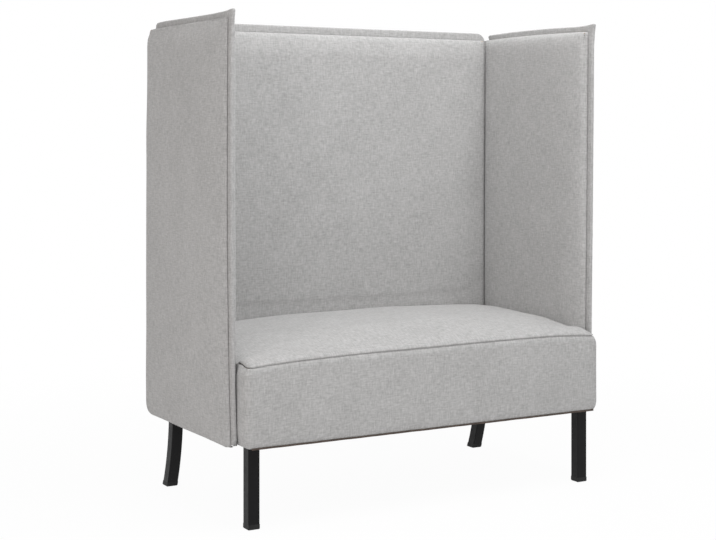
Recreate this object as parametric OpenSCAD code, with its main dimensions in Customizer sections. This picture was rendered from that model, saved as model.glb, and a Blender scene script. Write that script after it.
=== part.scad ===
// High-back two-seat sofa: an upholstered seat box between two full-height
// side wings and a high back, on four square steel legs.
// X runs to the right, Y to the back, Z up; the floor is at Z = 0.

/* [Overall] */
// Depth from the front of the seat to the back of the rear feet
overall_d = 602; // [540:1:720]
// Height of the top of the panel flanges above the floor
overall_h = 1321; // [1000:1:1500]
// Height of the frame's underside above the floor
underside_h = 213; // [170:1:250]

/* [Seat] */
// Width of the seat box over its cover
seat_w = 1107; // [900:1:1600]
// Height of the seat rails
rail_h = 120; // [100:1:135]
// Thickness of the seat rails
rail_t = 22; // [20:0.5:28]
// Padding and cover in front of the front rail
front_pad_t = 10; // [7:0.5:16]
// Cover over the front end of the side rails
side_cover_t = 4.5; // [3:0.5:7]
// Radius of the seat's front corners
seat_corner_r = 12; // [10:1:20]
// How far the seat's border stands proud at the sides, in front of the wings
border_puff = 5; // [0:0.5:8]
// Height of the seam above the frame's underside, in the middle of the front
seam_h = 219; // [205:1:240]
// How far the seam drops towards the front corners
seam_drop = 12; // [0:1:16]
// How far the seam is drawn in
seam_draw = 6; // [2:0.5:6.5]
// Height of the seat's crown above the seam
crown_h = 54; // [40:1:75]
// Thickness of the foam block under the crowned top
foam_h = 66; // [50:1:72]
// Number of sinuous springs
spring_count = 7; // [5:1:9]

/* [Wings] */
// Set-back of the wings' front edges from the front of the seat
wing_setback = 48; // [35:1:70]
// Thickness of a wing's frame with its two hardboard skins
wing_core_t = 22; // [20:0.5:28]
// Thickness of the padding on a wing's inner face
inner_pad_t = 20; // [12:0.5:28]
// Thickness of the padding on a wing's outer face
outer_pad_t = 9; // [6:0.5:16]
// Distance over which a wing's padding rolls off towards its front edge
front_roll = 95; // [60:1:120]

/* [Back] */
// Depth of the back's timber frame with its rear skin
back_core_t = 42; // [38:1:50]
// Thickness of the padding in the middle of the back
back_pad_t = 20; // [16:0.5:26]
// How much thinner the back's padding is at its sides
back_crown = 8; // [0:0.5:12]
// Thickness of the padding behind the back
rear_pad_t = 14; // [10:0.5:18]
// Distance over which the back's padding rolls off at its sides
side_roll = 32; // [20:1:60]
// Reach of the rear feet behind the rear padding
foot_reach = 2; // [0:0.5:10]

/* [Flanges] */
// Thickness of the sewn flange round each panel
flange_t = 10; // [7:0.5:13]
// Width of the flange beyond the timber that it is fixed to
flange_w = 20; // [14:0.5:30]
// Radius of the top corners of the back's flange
flange_corner_r = 30; // [20:1:45]
// Rise of the wing flange's front top corner
corner_peak = 3; // [0:0.5:8]
// Forward reach of the wing flange's front top corner
corner_reach = 8; // [0:0.5:12]
// Distance over which the padding rolls off towards the top flange
top_roll = 62; // [40:1:90]

/* [Legs] */
// Width of the square leg tube
leg_w = 32; // [28:1:38]
// Wall of the leg tube
leg_wall = 2; // [1.5:0.25:3]
// Set-back of the front legs from the front of the seat
leg_setback = 30; // [25:1:38]
// Set-in of the legs' outer faces from the sides of the seat
leg_inset = 12.5; // [9:0.5:24]
// How far a rear foot stands behind the top of its leg
leg_kick = 45; // [20:1:60]
// Visible height of the plastic foot
glide_h = 13; // [8:0.5:20]

/* [Timber] */
// Width of the stiles and rails in the panels
stile_w = 60; // [50:1:70]
// Height of the panels' bottom rails
bottom_rail_h = 100; // [90:1:115]
// Thickness of the boards between the seat rails and the panels
board_t = 16; // [12:0.5:22]
// Thickness of the hardboard skins
skin_t = 2.5; // [2:0.5:4]

/* [Hidden] */

// Colours
fabric = [0.66, 0.65, 0.64];
fabric_dark = [0.55, 0.54, 0.53];
timber = [0.82, 0.69, 0.5];
board = [0.62, 0.47, 0.3];
black_steel = [0.12, 0.12, 0.12];
zinc = [0.72, 0.73, 0.74];

// Small clearance between pieces that only lie against each other
fit_gap = 0.3;
// Overrun of every cut
over = 1;

// Levels along Y, from the front of the seat to the rear padding
front_y = -overall_d / 2;
rail_front_y = front_y + front_pad_t;
back_rear_y = overall_d / 2 - foot_reach;
core_rear_y = back_rear_y - rear_pad_t;
back_core_y = core_rear_y - back_core_t;
seat_rear_y = back_core_y - board_t;
back_face_y = back_core_y - back_pad_t;
wing_front_y = front_y + wing_setback;
core_front_y = wing_front_y + flange_w;

// Levels along X, from the middle outwards
seat_x = seat_w / 2;
rail_x = seat_x - side_cover_t;
core_in_x = rail_x + board_t;
core_out_x = core_in_x + wing_core_t;
wing_face_x = core_in_x - inner_pad_t;
wing_out_x = core_out_x + outer_pad_t;
flange_in_x = (core_in_x + core_out_x - flange_t) / 2;
flange_out_x = flange_in_x + flange_t;
timber_in_x = core_in_x + skin_t;
timber_out_x = core_out_x - skin_t;
wing_timber_t = timber_out_x - timber_in_x;

// The back panel between the wings
back_flange_gap = 0.5;
back_side_w = 12.5;
back_x = wing_face_x - back_flange_gap;
back_core_x = back_x - back_side_w;
back_timber_t = back_core_t - skin_t;
// Set-back of the back's flange from the front face of its frame
flange_set = 6;
back_flange_y = back_core_y + flange_set;

// Levels along Z
core_top = overall_h - flange_w;
rail_top = underside_h + rail_h;
seam_z = underside_h + seam_h;
crown_z = seam_z + crown_h;
// The cover turns over the timber's edge by this much
edge_wrap = 3;
crease_y = core_front_y - edge_wrap;
crease_z = core_top + edge_wrap;
// Cover and wadding where the padding is thinnest
cover_t = 1.2;
// Cover turned under the frame
under_t = 2.5;
// The fixing boards' height and the front end of the side ones
board_h = 172;
board_top = underside_h + board_h;
board_back = 24;
board_front_y = crease_y + board_back;

// Fullness of the padding's roll-off
roll_power = 2.4;
// Stations along a roll-off, dense where the surface turns
roll_shares = [0, 0.02, 0.06, 0.13, 0.24, 0.4, 0.62, 1];
// Radii of the rear top edges: over the padding and on the timber
rear_roll_r = 25;
timber_roll_r = 15;
// The same of the rear bottom edges
rear_low_r = 36;
timber_low_r = 22;
// Radius of the padding's rear corners and how far the side covers turn round them
rear_corner_r = 14;
rear_turn = 26;
rear_in_x = wing_out_x - rear_turn;

// Fullness 0 to 1 at a share of the roll-off
function swell(s) = s <= 0 ? 0 : s >= 1 ? 1 : pow(1 - pow(1 - s, roll_power), 1 / roll_power);
// How far a quarter-round of radius r has dropped at height z below a top
function round_off(z, top, r) =
    z <= top - r ? 0 : r - sqrt(max(0, r * r - pow(z - (top - r), 2)));
// How far the rear padding is drawn in at a height z, at the top and the bottom
function pad_off(z) = round_off(z, crease_z, rear_roll_r) + round_off(-z, under_t - underside_h, rear_low_r);
// The same of the timber that it lies on
function timber_off(z) = round_off(min(z, core_top), core_top, timber_roll_r)
    + round_off(-max(z, underside_h), -underside_h, timber_low_r);
// How far the edges of the rear padding are drawn in
rear_draw = 1;
// Level in Y of the rear padding's inner face
function pad_seat_y(z) = min(core_rear_y + fit_gap - timber_off(z),
    back_rear_y - pad_off(z) - rear_draw - cover_t);
// Points of an arc
function arc(cx, cy, r, a0, a1, n) =
    [for (i = [0 : n]) [cx + r * cos(a0 + (a1 - a0) * i / n), cy + r * sin(a0 + (a1 - a0) * i / n)]];
// Angle of step i of the n steps of a quarter turn
function quarter(i, n) = 90 * i / n;
function mix(a, b, s) = a + (b - a) * s;
function lift(points, z) = [for (p = points) [p.x, p.y, z]];

// Triangles that fill a flat outline: the best-shaped ear is cut off first
function turn(a, b, c) = (b.x - a.x) * (c.y - a.y) - (b.y - a.y) * (c.x - a.x);
function holds(a, b, c, p) =
    p != a && p != b && p != c && turn(a, b, p) >= 0 && turn(b, c, p) >= 0 && turn(c, a, p) >= 0;
function ear_shape(points, ids, i) = let (
    n = len(ids), a = points[ids[(i + n - 1) % n]], b = points[ids[i]], c = points[ids[(i + 1) % n]],
    area = turn(a, b, c))
    area <= 0 || max([for (k = ids) holds(a, b, c, points[k]) ? 1 : 0]) == 1 ? 0
        : area / pow(max(norm(b - a), norm(c - b), norm(a - c)), 2);
function ears(points, ids) = len(ids) < 4 ? [ids] : let (
    n = len(ids),
    shapes = [for (i = [0 : n - 1]) ear_shape(points, ids, i)],
    best = max(shapes),
    i = [for (k = [0 : n - 1]) if (shapes[k] == best) k][0])
    concat([[ids[(i + n - 1) % n], ids[i], ids[(i + 1) % n]]],
        ears(points, [for (k = [0 : n - 1]) if (k != i) ids[k]]));

// Side faces between rings with equal counts of points
function skin(m, n) = [for (k = [0 : m - 2], i = [0 : n - 1])
    let (j = (i + 1) % n, a = k * n + i, b = k * n + j, c = a + n, d = b + n)
        each [[a, c, d], [a, d, b]]];
function flat_xy(ring) = [for (p = ring) [p.x, p.y]];

// Closed solid through a stack of rings; the end rings are flat
module loft(rings, first = undef, last = undef) {
    n = len(rings[0]);
    m = len(rings);
    ids = [for (i = [0 : n - 1]) i];
    low = ears(is_undef(first) ? flat_xy(rings[0]) : first, ids);
    high = ears(is_undef(last) ? flat_xy(rings[m - 1]) : last, ids);
    polyhedron(points = [for (r = rings) each r], convexity = 6, faces = concat(skin(m, n), low,
        [for (t = high) [t[2] + (m - 1) * n, t[1] + (m - 1) * n, t[0] + (m - 1) * n]]));
}

// The same between two middle points, for outlines round a middle
module dome(rings, low_mid, high_mid) {
    n = len(rings[0]);
    m = len(rings);
    polyhedron(points = concat([for (r = rings) each r], [low_mid, high_mid]), convexity = 6,
        faces = concat(skin(m, n), [for (i = [0 : n - 1]) let (j = (i + 1) % n)
            each [[i, j, m * n], [(m - 1) * n + j, (m - 1) * n + i, m * n + 1]]]));
}

// Puts a piece made for the right side on the left one
module on_side(side) {
    mirror([side < 0 ? 1 : 0, 0, 0]) children();
}

// Outline in Y and Z, extruded along X from x0
module along_x(x0, length) {
    translate([x0, 0, 0]) rotate([90, 0, 90]) linear_extrude(length) children();
}

// Outline in X and Z, extruded along Y from y0
module along_y(y0, length) {
    translate([0, y0 + length, 0]) rotate([90, 0, 0]) linear_extrude(length) children();
}

// Box between two corners
module box(low, high) {
    translate(low) cube([high.x - low.x, high.y - low.y, high.z - low.z]);
}

// Plan with rounded front corners
module rounded_front(half, y0, y1, r) {
    translate([-half, y0 + r]) square([2 * half, y1 - y0 - r]);
    translate([r - half, y0]) square([2 * (half - r), 2 * r]);
    for (side = [-1, 1]) translate([side * (half - r), y0 + r]) circle(r = r, $fn = 64);
}

// Legs: square tube welded to a plate, on a push-in plastic foot
leg_round = 2.5;
plate_t = 4;
plate_x = 80;
plate_y = 100;
tube_top = underside_h - plate_t;
leg_x = seat_x - leg_inset - leg_w;
leg_front_y = front_y + leg_setback;
// A rear leg is an arc: nearly upright under the seat, raked back at the foot
leg_top_tilt = 2;
leg_foot_tilt = 2 * atan(leg_kick / tube_top) - leg_top_tilt;
leg_arc_r = tube_top / (sin(leg_foot_tilt) - sin(leg_top_tilt));
// The foot's lower edge is chamfered, so its widest level is a little above the floor
glide_chamfer = 1.5;
foot_mid_y = overall_d / 2 - leg_w / cos(leg_foot_tilt) / 2 + glide_chamfer * tan(leg_foot_tilt);
arc_y = foot_mid_y + leg_arc_r * cos(leg_foot_tilt);
arc_z = tube_top + leg_arc_r * sin(leg_top_tilt);
leg_top_y = arc_y - leg_arc_r * cos(leg_top_tilt);
rear_plate_y = leg_top_y + leg_w / 2 - plate_y;
// Places of the four bolts from the plate's inner corner
plate_holes_x = [16, 50];
plate_holes_y = [14, 38];

module tube_section() {
    flat = leg_w - 2 * leg_round;
    difference() {
        union() {
            square([flat, leg_w], center = true);
            square([leg_w, flat], center = true);
            for (x = [-1, 1], y = [-1, 1])
                translate([x, y] * flat / 2) circle(r = leg_round, $fn = 32);
        }
        square(leg_w - 2 * leg_wall, center = true);
    }
}

module leg_plate(y0) {
    x1 = leg_x + leg_w;
    box([x1 - plate_x, y0, tube_top], [x1, y0 + plate_y, underside_h]);
}

module leg_front(side) {
    color(black_steel) on_side(side) difference() {
        union() {
            leg_plate(leg_front_y);
            translate([leg_x + leg_w / 2, leg_front_y + leg_w / 2, glide_h])
                linear_extrude(tube_top - glide_h) tube_section();
        }
        leg_bolt_places() bolt_hole(plate_t);
    }
}

module leg_rear(side) {
    // Spare angle at both ends, trimmed level
    spare = 4;
    color(black_steel) on_side(side) difference() {
        union() {
            leg_plate(rear_plate_y);
            intersection() {
                translate([leg_x + leg_w / 2, arc_y, arc_z])
                    rotate([-90, 0, 0]) rotate([0, 90, 0]) rotate([0, 0, leg_top_tilt - spare])
                        rotate_extrude(angle = leg_foot_tilt - leg_top_tilt + 2 * spare, $fn = 96)
                            translate([leg_arc_r, 0]) tube_section();
                box([leg_x - over, 0, glide_h], [leg_x + leg_w + over, overall_d, tube_top]);
            }
        }
        leg_bolt_places() bolt_hole(plate_t);
    }
}

// Foot: a cap under the tube and a stem that sits in it, both along the leg's mid-line
glide_stem_h = 18;
function rear_mid_y(z) = arc_y - sqrt(pow(leg_arc_r, 2) - pow(arc_z - z, 2));
function rear_tilt(z) = asin((arc_z - z) / leg_arc_r);
function mid_y(rear, z) = rear ? rear_mid_y(z) : leg_front_y + leg_w / 2;
function half_y(rear, z, half) = rear ? half / cos(rear_tilt(z)) : half;
// Outline in Y and Z between two heights; the lower edge is drawn in by a chamfer
function foot_side(rear, half, z0, z1, chamfer) =
    [[mid_y(rear, z0) - half_y(rear, z0, half) + chamfer, z0],
     [mid_y(rear, z0) + half_y(rear, z0, half) - chamfer, z0],
     [mid_y(rear, z1) + half_y(rear, z1, half), z1],
     [mid_y(rear, z1) - half_y(rear, z1, half), z1]];

module glide(side, rear) {
    stem = leg_w / 2 - leg_wall - fit_gap;
    color(black_steel) on_side(side) {
        along_x(leg_x, leg_w)
            polygon(foot_side(rear, leg_w / 2, glide_chamfer, glide_h, 0));
        along_x(leg_x + glide_chamfer, leg_w - 2 * glide_chamfer)
            polygon(foot_side(rear, leg_w / 2, 0, glide_chamfer, glide_chamfer));
        along_x(leg_x + leg_w / 2 - stem, 2 * stem)
            polygon(foot_side(rear, stem, glide_h, glide_h + glide_stem_h, 0));
    }
}

// Bolts and tee nuts
bolt_d = 8;
bolt_hole_d = 9;
bolt_head_d = 13;
bolt_head_h = 4;
bolt_socket = 5.8;
// The tip stops this far short of the tee nut's flange
bolt_tip_gap = 1;
nut_flange_d = 20;
nut_flange_t = 1.5;
nut_barrel_d = 11;
nut_barrel_h = 9;
nut_bore_d = 8.6;
block_h = 60;
block_w = 100;
// Pockets are this much larger than what sits in them
pocket_gap = 0.3;
leg_grip = plate_t + block_h;
side_grip = rail_t + board_t + skin_t + wing_timber_t;
back_grip = rail_t + board_t + back_timber_t;
head_pocket = 5.5;
corner_grip = timber_out_x - head_pocket - (back_core_x - stile_w);

// Bolt along +Z with its head below zero
module bolt(grip) {
    difference() {
        union() {
            translate([0, 0, -bolt_head_h]) cylinder(h = bolt_head_h, d = bolt_head_d, $fn = 48);
            cylinder(h = grip - bolt_tip_gap, d = bolt_d, $fn = 48);
        }
        translate([0, 0, -bolt_head_h - over]) cylinder(h = over + bolt_head_h / 2, d = bolt_socket, $fn = 6);
    }
}

module bolt_hole(grip) {
    translate([0, 0, -over]) cylinder(h = grip + 2 * over, d = bolt_hole_d, $fn = 48);
}

// Tee nut whose flange is flush with the far face
module tee_nut(grip) {
    difference() {
        translate([0, 0, grip]) mirror([0, 0, 1]) {
            cylinder(h = nut_flange_t, d = nut_flange_d, $fn = 48);
            cylinder(h = nut_barrel_h, d = nut_barrel_d, $fn = 48);
        }
        translate([0, 0, grip - nut_barrel_h - over])
            cylinder(h = nut_barrel_h + 2 * over, d = nut_bore_d, $fn = 48);
    }
}

module nut_pocket(grip) {
    translate([0, 0, grip + over]) mirror([0, 0, 1]) {
        cylinder(h = over + nut_flange_t, d = nut_flange_d + 2 * pocket_gap, $fn = 48);
        cylinder(h = over + nut_barrel_h + pocket_gap, d = nut_barrel_d + 2 * pocket_gap, $fn = 48);
    }
}

// The bolts' places on the right side, along the way they are driven
module leg_bolt_places() {
    for (y0 = [leg_front_y + plate_y, rear_plate_y], hx = plate_holes_x, hy = plate_holes_y) {
        inward = y0 > 0 ? 1 : -1;
        translate([leg_x + leg_w - plate_x + hx, y0 + inward * hy, tube_top]) children();
    }
}

// Panel bolts pass between the corner blocks and clear them
panel_bolt_rows = [30, 75];
panel_bolt_clear = 20;
panel_bolt_shares = [0.3, 0.7];
module side_bolt_places() {
    ends = [rail_front_y + rail_t + block_w + panel_bolt_clear,
        seat_rear_y - rail_t - block_w - panel_bolt_clear];
    for (row = panel_bolt_rows, y = ends)
        translate([rail_x - rail_t, y, underside_h + row]) rotate([0, 90, 0]) children();
}

module back_bolt_places() {
    for (row = panel_bolt_rows, share = panel_bolt_shares)
        translate([mix(-back_core_x, back_core_x, share), seat_rear_y - rail_t, underside_h + row])
            rotate([-90, 0, 0]) children();
}

// Corner bolts go in from the wings through the rear posts to the back's stiles
corner_bolt_shares = [0.14, 0.36, 0.62, 0.86];
post_front_y = back_flange_y + flange_t + fit_gap;
corner_bolt_y = (post_front_y + core_rear_y - skin_t) / 2;
module corner_bolt_places() {
    for (share = corner_bolt_shares)
        translate([timber_out_x - head_pocket, corner_bolt_y, mix(underside_h, core_top, share)])
            rotate([0, -90, 0]) children();
}

module both_sides() {
    for (side = [-1, 1]) on_side(side) children();
}

module leg_bolts() {
    color(zinc) both_sides() leg_bolt_places() bolt(leg_grip);
}

module panel_bolts() {
    color(zinc) {
        both_sides() side_bolt_places() bolt(side_grip);
        back_bolt_places() bolt(back_grip);
    }
}

module corner_bolts() {
    color(zinc) both_sides() corner_bolt_places() bolt(corner_grip);
}

module tee_nuts() {
    color(zinc) {
        both_sides() {
            leg_bolt_places() tee_nut(leg_grip);
            side_bolt_places() tee_nut(side_grip);
            corner_bolt_places() tee_nut(corner_grip);
        }
        back_bolt_places() tee_nut(back_grip);
    }
}

// Seat frame: rails doweled to each other, with glued corner blocks
dowel_d = 10;
dowel_l = 44;
dowel_gap = 0.1;
dowel_in = 16;
dowel_rows = [30, 70];
centre_h = 84;
rail_corner_r = seat_corner_r / 2;

// Dowels along Y at the front and rear ends of the rails that run back
module dowel_places() {
    for (x = [-1, 0, 1] * (rail_x - rail_t / 2), row = dowel_rows) {
        translate([x, rail_front_y + rail_t - dowel_in, underside_h + row]) rotate([-90, 0, 0]) children();
        translate([x, seat_rear_y - rail_t + dowel_in, underside_h + row]) rotate([90, 0, 0]) children();
    }
}

module dowel_holes() {
    dowel_places() translate([0, 0, -dowel_gap])
        cylinder(h = dowel_l + 2 * dowel_gap, d = dowel_d + 2 * dowel_gap, $fn = 32);
}

module rail_dowels() {
    color(timber) dowel_places() cylinder(h = dowel_l, d = dowel_d, $fn = 32);
}

module seat_front_rail() {
    r = rail_corner_r;
    color(timber) difference() {
        translate([0, 0, underside_h]) linear_extrude(rail_h) intersection() {
            rounded_front(rail_x, rail_front_y, rail_front_y + rail_t + r, r);
            translate([-rail_x, rail_front_y]) square([2 * rail_x, rail_t]);
        }
        dowel_holes();
    }
}

module seat_rear_rail() {
    color(timber) difference() {
        box([-rail_x, seat_rear_y - rail_t, underside_h], [rail_x, seat_rear_y, rail_top]);
        dowel_holes();
        back_bolt_places() bolt_hole(back_grip);
    }
}

module seat_side_rail(side) {
    color(timber) difference() {
        on_side(side) difference() {
            box([rail_x - rail_t, rail_front_y + rail_t, underside_h],
                [rail_x, seat_rear_y - rail_t, rail_top]);
            side_bolt_places() bolt_hole(side_grip);
        }
        dowel_holes();
    }
}

module seat_centre_rail() {
    color(timber) difference() {
        box([-rail_t / 2, rail_front_y + rail_t, underside_h],
            [rail_t / 2, seat_rear_y - rail_t, underside_h + centre_h]);
        dowel_holes();
    }
}

module corner_blocks() {
    x1 = rail_x - rail_t;
    color(timber) both_sides() difference() {
        for (y0 = [rail_front_y + rail_t, seat_rear_y - rail_t - block_w])
            box([x1 - block_w, y0, underside_h], [x1, y0 + block_w, underside_h + block_h]);
        leg_bolt_places() bolt_hole(leg_grip);
        leg_bolt_places() nut_pocket(leg_grip);
    }
}

// Sinuous springs: flat bends side by side, run from the front to the rear rail
wire_d = 4;
bend_r = 12;
spring_wide = 56;
clip_w = 26;
clip_d = 18;
clip_h = 9;
clip_gap = 0.15;
spring_z = rail_top + clip_h / 2;
spring_y0 = rail_front_y + rail_t / 2;
spring_y1 = seat_rear_y - rail_t / 2;
bend_count = floor((spring_y1 - spring_y0) / (2 * bend_r));
// The straight lead at each end takes up what the whole bends leave
spring_lead = (spring_y1 - spring_y0 - bend_count * 2 * bend_r) / 2;
spring_step = 2 * (rail_x - rail_t - spring_wide) / (spring_count - 1);

module wire_bend() {
    difference() {
        circle(r = bend_r + wire_d / 2, $fn = 48);
        circle(r = bend_r - wire_d / 2, $fn = 48);
        translate([-2 * bend_r, -2 * bend_r]) square([2 * bend_r, 4 * bend_r]);
    }
}

module spring_outline() {
    reach = spring_wide / 2 - bend_r - wire_d / 2;
    for (i = [0 : bend_count - 1])
        translate([(i % 2 == 0 ? 1 : -1) * reach, (2 * i + 1) * bend_r])
            rotate(i % 2 == 0 ? 0 : 180) wire_bend();
    for (i = [0 : bend_count])
        translate([-reach, 2 * i * bend_r - wire_d / 2]) square([2 * reach, wire_d]);
}

module spring_places() {
    for (i = [0 : spring_count - 1])
        translate([(i - (spring_count - 1) / 2) * spring_step, 0, 0]) children();
}

module seat_springs() {
    color(zinc) spring_places()
        translate([0, spring_y0 + spring_lead, spring_z - wire_d / 2])
            linear_extrude(wire_d) spring_outline();
}

module spring_clips() {
    hole = wire_d + 2 * clip_gap;
    color(zinc) spring_places()
        for (y = [spring_y0 + spring_lead, spring_y1 - spring_lead])
            difference() {
                box([-clip_w / 2, y - clip_d / 2, rail_top], [clip_w / 2, y + clip_d / 2, rail_top + clip_h]);
                box([-clip_w, y - hole / 2, spring_z - hole / 2],
                    [clip_w, y + hole / 2, spring_z + hole / 2]);
            }
}

// Seat padding
felt_t = 4;
felt_z = rail_top + clip_h;
foam_z = felt_z + felt_t;
foam_top = foam_z + foam_h;
foam_x = wing_face_x - 2 * fit_gap;
foam_front_y = rail_front_y + fit_gap;
foam_rear_y = back_face_y - fit_gap;

module seat_felt() {
    color(fabric_dark) translate([0, 0, felt_z]) linear_extrude(felt_t)
        rounded_front(foam_x, foam_front_y, foam_rear_y, rail_corner_r);
}

module seat_foam() {
    color([0.93, 0.9, 0.78]) translate([0, 0, foam_z]) linear_extrude(foam_h)
        rounded_front(foam_x, foam_front_y, foam_rear_y, rail_corner_r);
}

// Inner face of a wing's padding at a depth y, where the padding is full
function wing_pad_x(y) = mix(flange_in_x, wing_face_x, swell((y - crease_y) / front_roll));
// Height of the seam at a place across the front
function seam_at(x) = seam_z - seam_drop * pow(min(1, abs(x) / seat_x), 4);

// Outline of the seat's top on the right, from the middle of the front to the
// middle of the rear: [x, y, how far that stretch rolls, padding of the border]
top_front_run = 110;
top_side_run = 46;
top_rear_run = 16;
top_front_shares = [0, 0.2, 0.4, 0.6, 0.8, 0.93];
top_side_shares = [0.35, 0.7, 1];
top_depth_shares = [0.25, 0.55, 0.8];
top_rear_shares = [0.8, 0.55, 0.3, 0];
front_steps = 5;
rear_steps = 3;
top_rear_r = 12;
top_rear_y = foam_rear_y;
function top_half_outline() = let (
    r = seat_corner_r,
    wing_ys = [for (s = top_side_shares) crease_y + front_roll * s],
    depth_ys = [for (s = top_depth_shares) mix(crease_y + front_roll, top_rear_y - top_rear_r, s)])
    concat(
        [for (s = top_front_shares) [(seat_x - r) * s, front_y, top_front_run, front_pad_t]],
        [for (i = [0 : front_steps]) let (t = quarter(i, front_steps))
            [seat_x - r + r * sin(t), front_y + r - r * cos(t),
             mix(top_front_run, top_side_run, i / front_steps), mix(front_pad_t, side_cover_t, 1 - cos(t))]],
        [[seat_x, crease_y, top_side_run, side_cover_t]],
        [for (y = wing_ys) [min(seat_x, wing_pad_x(y) - fit_gap), y, top_side_run, 0]],
        [for (y = depth_ys) [wing_face_x - fit_gap, y, top_side_run, 0]],
        [for (i = [0 : rear_steps]) let (t = quarter(i, rear_steps))
            [wing_face_x - fit_gap - top_rear_r * (1 - cos(t)), top_rear_y - top_rear_r * (1 - sin(t)),
             mix(top_side_run, top_rear_run, i / rear_steps), 0]],
        [for (s = top_rear_shares) [(seat_x - r) * s, top_rear_y, top_rear_run, 0]]);
// The whole outline, counter-clockwise from the middle of the front
function top_outline() = let (half = top_half_outline(), n = len(half))
    concat(half, [for (i = [n - 2 : -1 : 1]) [-half[i].x, half[i].y, half[i].z, half[i][3]]]);
// A point of the outline drawn in by d, keeping the outline's shape
top_mid_y = (front_y + foam_rear_y) / 2;
top_half_d = (foam_rear_y - front_y) / 2;
function drawn_in(p, d) = [p.x * (seat_x - d) / seat_x,
    top_mid_y + (p.y - top_mid_y) * (top_half_d - d) / top_half_d];
function at_height(q, z) = [q.x, q.y, z];
// The crown falls away a little towards the front, the sides and the back
front_dip = 12;
side_dip = 16;
rear_dip = 7;
function crown_at(q) = let (v = (q.y - top_mid_y) / top_half_d)
    crown_z - side_dip * pow(abs(q.x) / seat_x, 4) - (v < 0 ? front_dip : rear_dip) * v * v;
shoulder_angles = [7, 16, 27, 40, 54, 70, 90];
crown_shares = [0.22, 0.5, 0.8];
roll_fullness = 1.3;
// The seam's draw-in has faded when the shoulder has turned this far
draw_fade = 4;
function shoulder_ring(outline, a) = [for (p = outline)
    let (pull = p[3] > 0 ? seam_draw : 0,
        q = drawn_in(p, pull * pow(1 - sin(a), draw_fade) + p.z * pow(1 - cos(a), roll_fullness)))
        at_height(q, mix(seam_at(p.x) + 2 * fit_gap, crown_at(drawn_in(p, p.z)), sin(a)))];
function crown_ring(outline, s) = [for (p = outline)
    let (edge = drawn_in(p, p.z), q = [edge.x * (1 - s), mix(edge.y, top_mid_y, s)])
        at_height(q, crown_at(q))];

module seat_top() {
    outline = top_outline();
    low = [for (p = outline) at_height(drawn_in(p, p[3] > 0 ? p[3] + fit_gap : 0), foam_top)];
    high = [for (p = outline) at_height(drawn_in(p, p[3] > 0 ? p[3] + fit_gap : 0), seam_at(p.x) + fit_gap)];
    seam = [for (p = outline)
        at_height(drawn_in(p, p[3] > 0 ? seam_draw : 0), seam_at(p.x) + 2 * fit_gap)];
    color(fabric) dome(concat([low, high, seam],
        [for (a = shoulder_angles) shoulder_ring(outline, a)],
        [for (s = crown_shares) crown_ring(outline, s)]),
        [0, top_mid_y, foam_top], [0, top_mid_y, crown_z]);
}

// Border: front and short side returns of the seat's cover, turned under the rails
border_front_shares = [0, 0.2, 0.4, 0.6, 0.8, 0.93];
// Places along a return, with the share of the puff that is left there
border_return_shares = [[0.3, 1], [0.55, 0.5], [0.7, 0], [1, 0]];
border_steps = 6;
border_end_y = board_front_y - fit_gap;
// [outer x, outer y, inner x, inner y, puff to the side] along the right half
function border_half() = let (r = seat_corner_r, r2 = rail_corner_r)
    concat(
        [for (s = border_front_shares)
            [(seat_x - r) * s, front_y, (rail_x - r2) * s, rail_front_y, 0]],
        [for (i = [0 : border_steps]) let (t = quarter(i, border_steps))
            [seat_x - r + r * sin(t), front_y + r - r * cos(t),
             rail_x - r2 + r2 * sin(t), rail_front_y + r2 - r2 * cos(t), border_puff * sin(t)]],
        [for (s = border_return_shares)
            [seat_x, mix(front_y + r, border_end_y, s[0]),
             rail_x, mix(rail_front_y + r2, border_end_y, s[0]), border_puff * s[1]]]);
function border_path() = let (half = border_half(), n = len(half))
    concat([for (i = [n - 1 : -1 : 1]) let (p = half[i]) [-p[0], p[1], -p[2], p[3], -p[4]]], half);
// Section of the border: share of its thickness inwards, share of its height and
// share of the puff; then, under the rails, the height in sizes of the turned cover
border_section_shares = [[0.6, 1, 0], [0.22, 0.985, 0.25], [0.06, 0.945, 0.6], [0, 0.86, 1], [0, 0.5, 1],
    [0, 0.16, 1], [0.05, 0.09, 0.85], [0.2, 0.035, 0.6], [0.48, 0.004, 0.2]];
border_under_shares = [[0.85, -1], [1.12, -1], [1.12, -0.12], [1, -0.12]];
function border_ring(p) = let (
    outer = [p[0], p[1]], inner = [p[2], p[3]],
    top = seam_at(p[0]) - underside_h)
    concat(
        [for (s = border_section_shares) let (q = mix(outer, inner, s[0]))
            [q.x + p[4] * s[2], q.y, underside_h + top * s[1]]],
        [for (s = border_under_shares) let (q = mix(outer, inner, s[0]))
            [q.x, q.y, underside_h + under_t * s[1]]],
        [[inner.x, inner.y, underside_h + top]]);

module seat_border() {
    rings = [for (p = border_path()) border_ring(p)];
    color(fabric) loft(rings, [for (p = rings[0]) [p.x, p.z]],
        [for (p = rings[len(rings) - 1]) [-p.x, p.z]]);
}

// Black cloth under the seat, cut out round the leg plates
dust_t = 1.5;
dust_inset = 12;
dust_clear = 1;
module dust_cover() {
    x1 = rail_x - dust_inset;
    color([0.1, 0.1, 0.1]) difference() {
        box([-x1, rail_front_y + dust_inset, underside_h - dust_t],
            [x1, seat_rear_y + board_t - dust_clear, underside_h]);
        both_sides() for (y0 = [leg_front_y, rear_plate_y])
            box([leg_x + leg_w - plate_x - dust_clear, y0 - dust_clear, underside_h - dust_t - over],
                [x1 + over, y0 + plate_y + dust_clear, underside_h + over]);
    }
}

// Panel timbers: rails are tenoned into the stiles
tenon_l = 25;
tenon_shoulder = 8;
tenon_gap = 0.1;
mid_rail_share = 0.47;
mid_rail_z = mix(underside_h, core_top, mid_rail_share);

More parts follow.
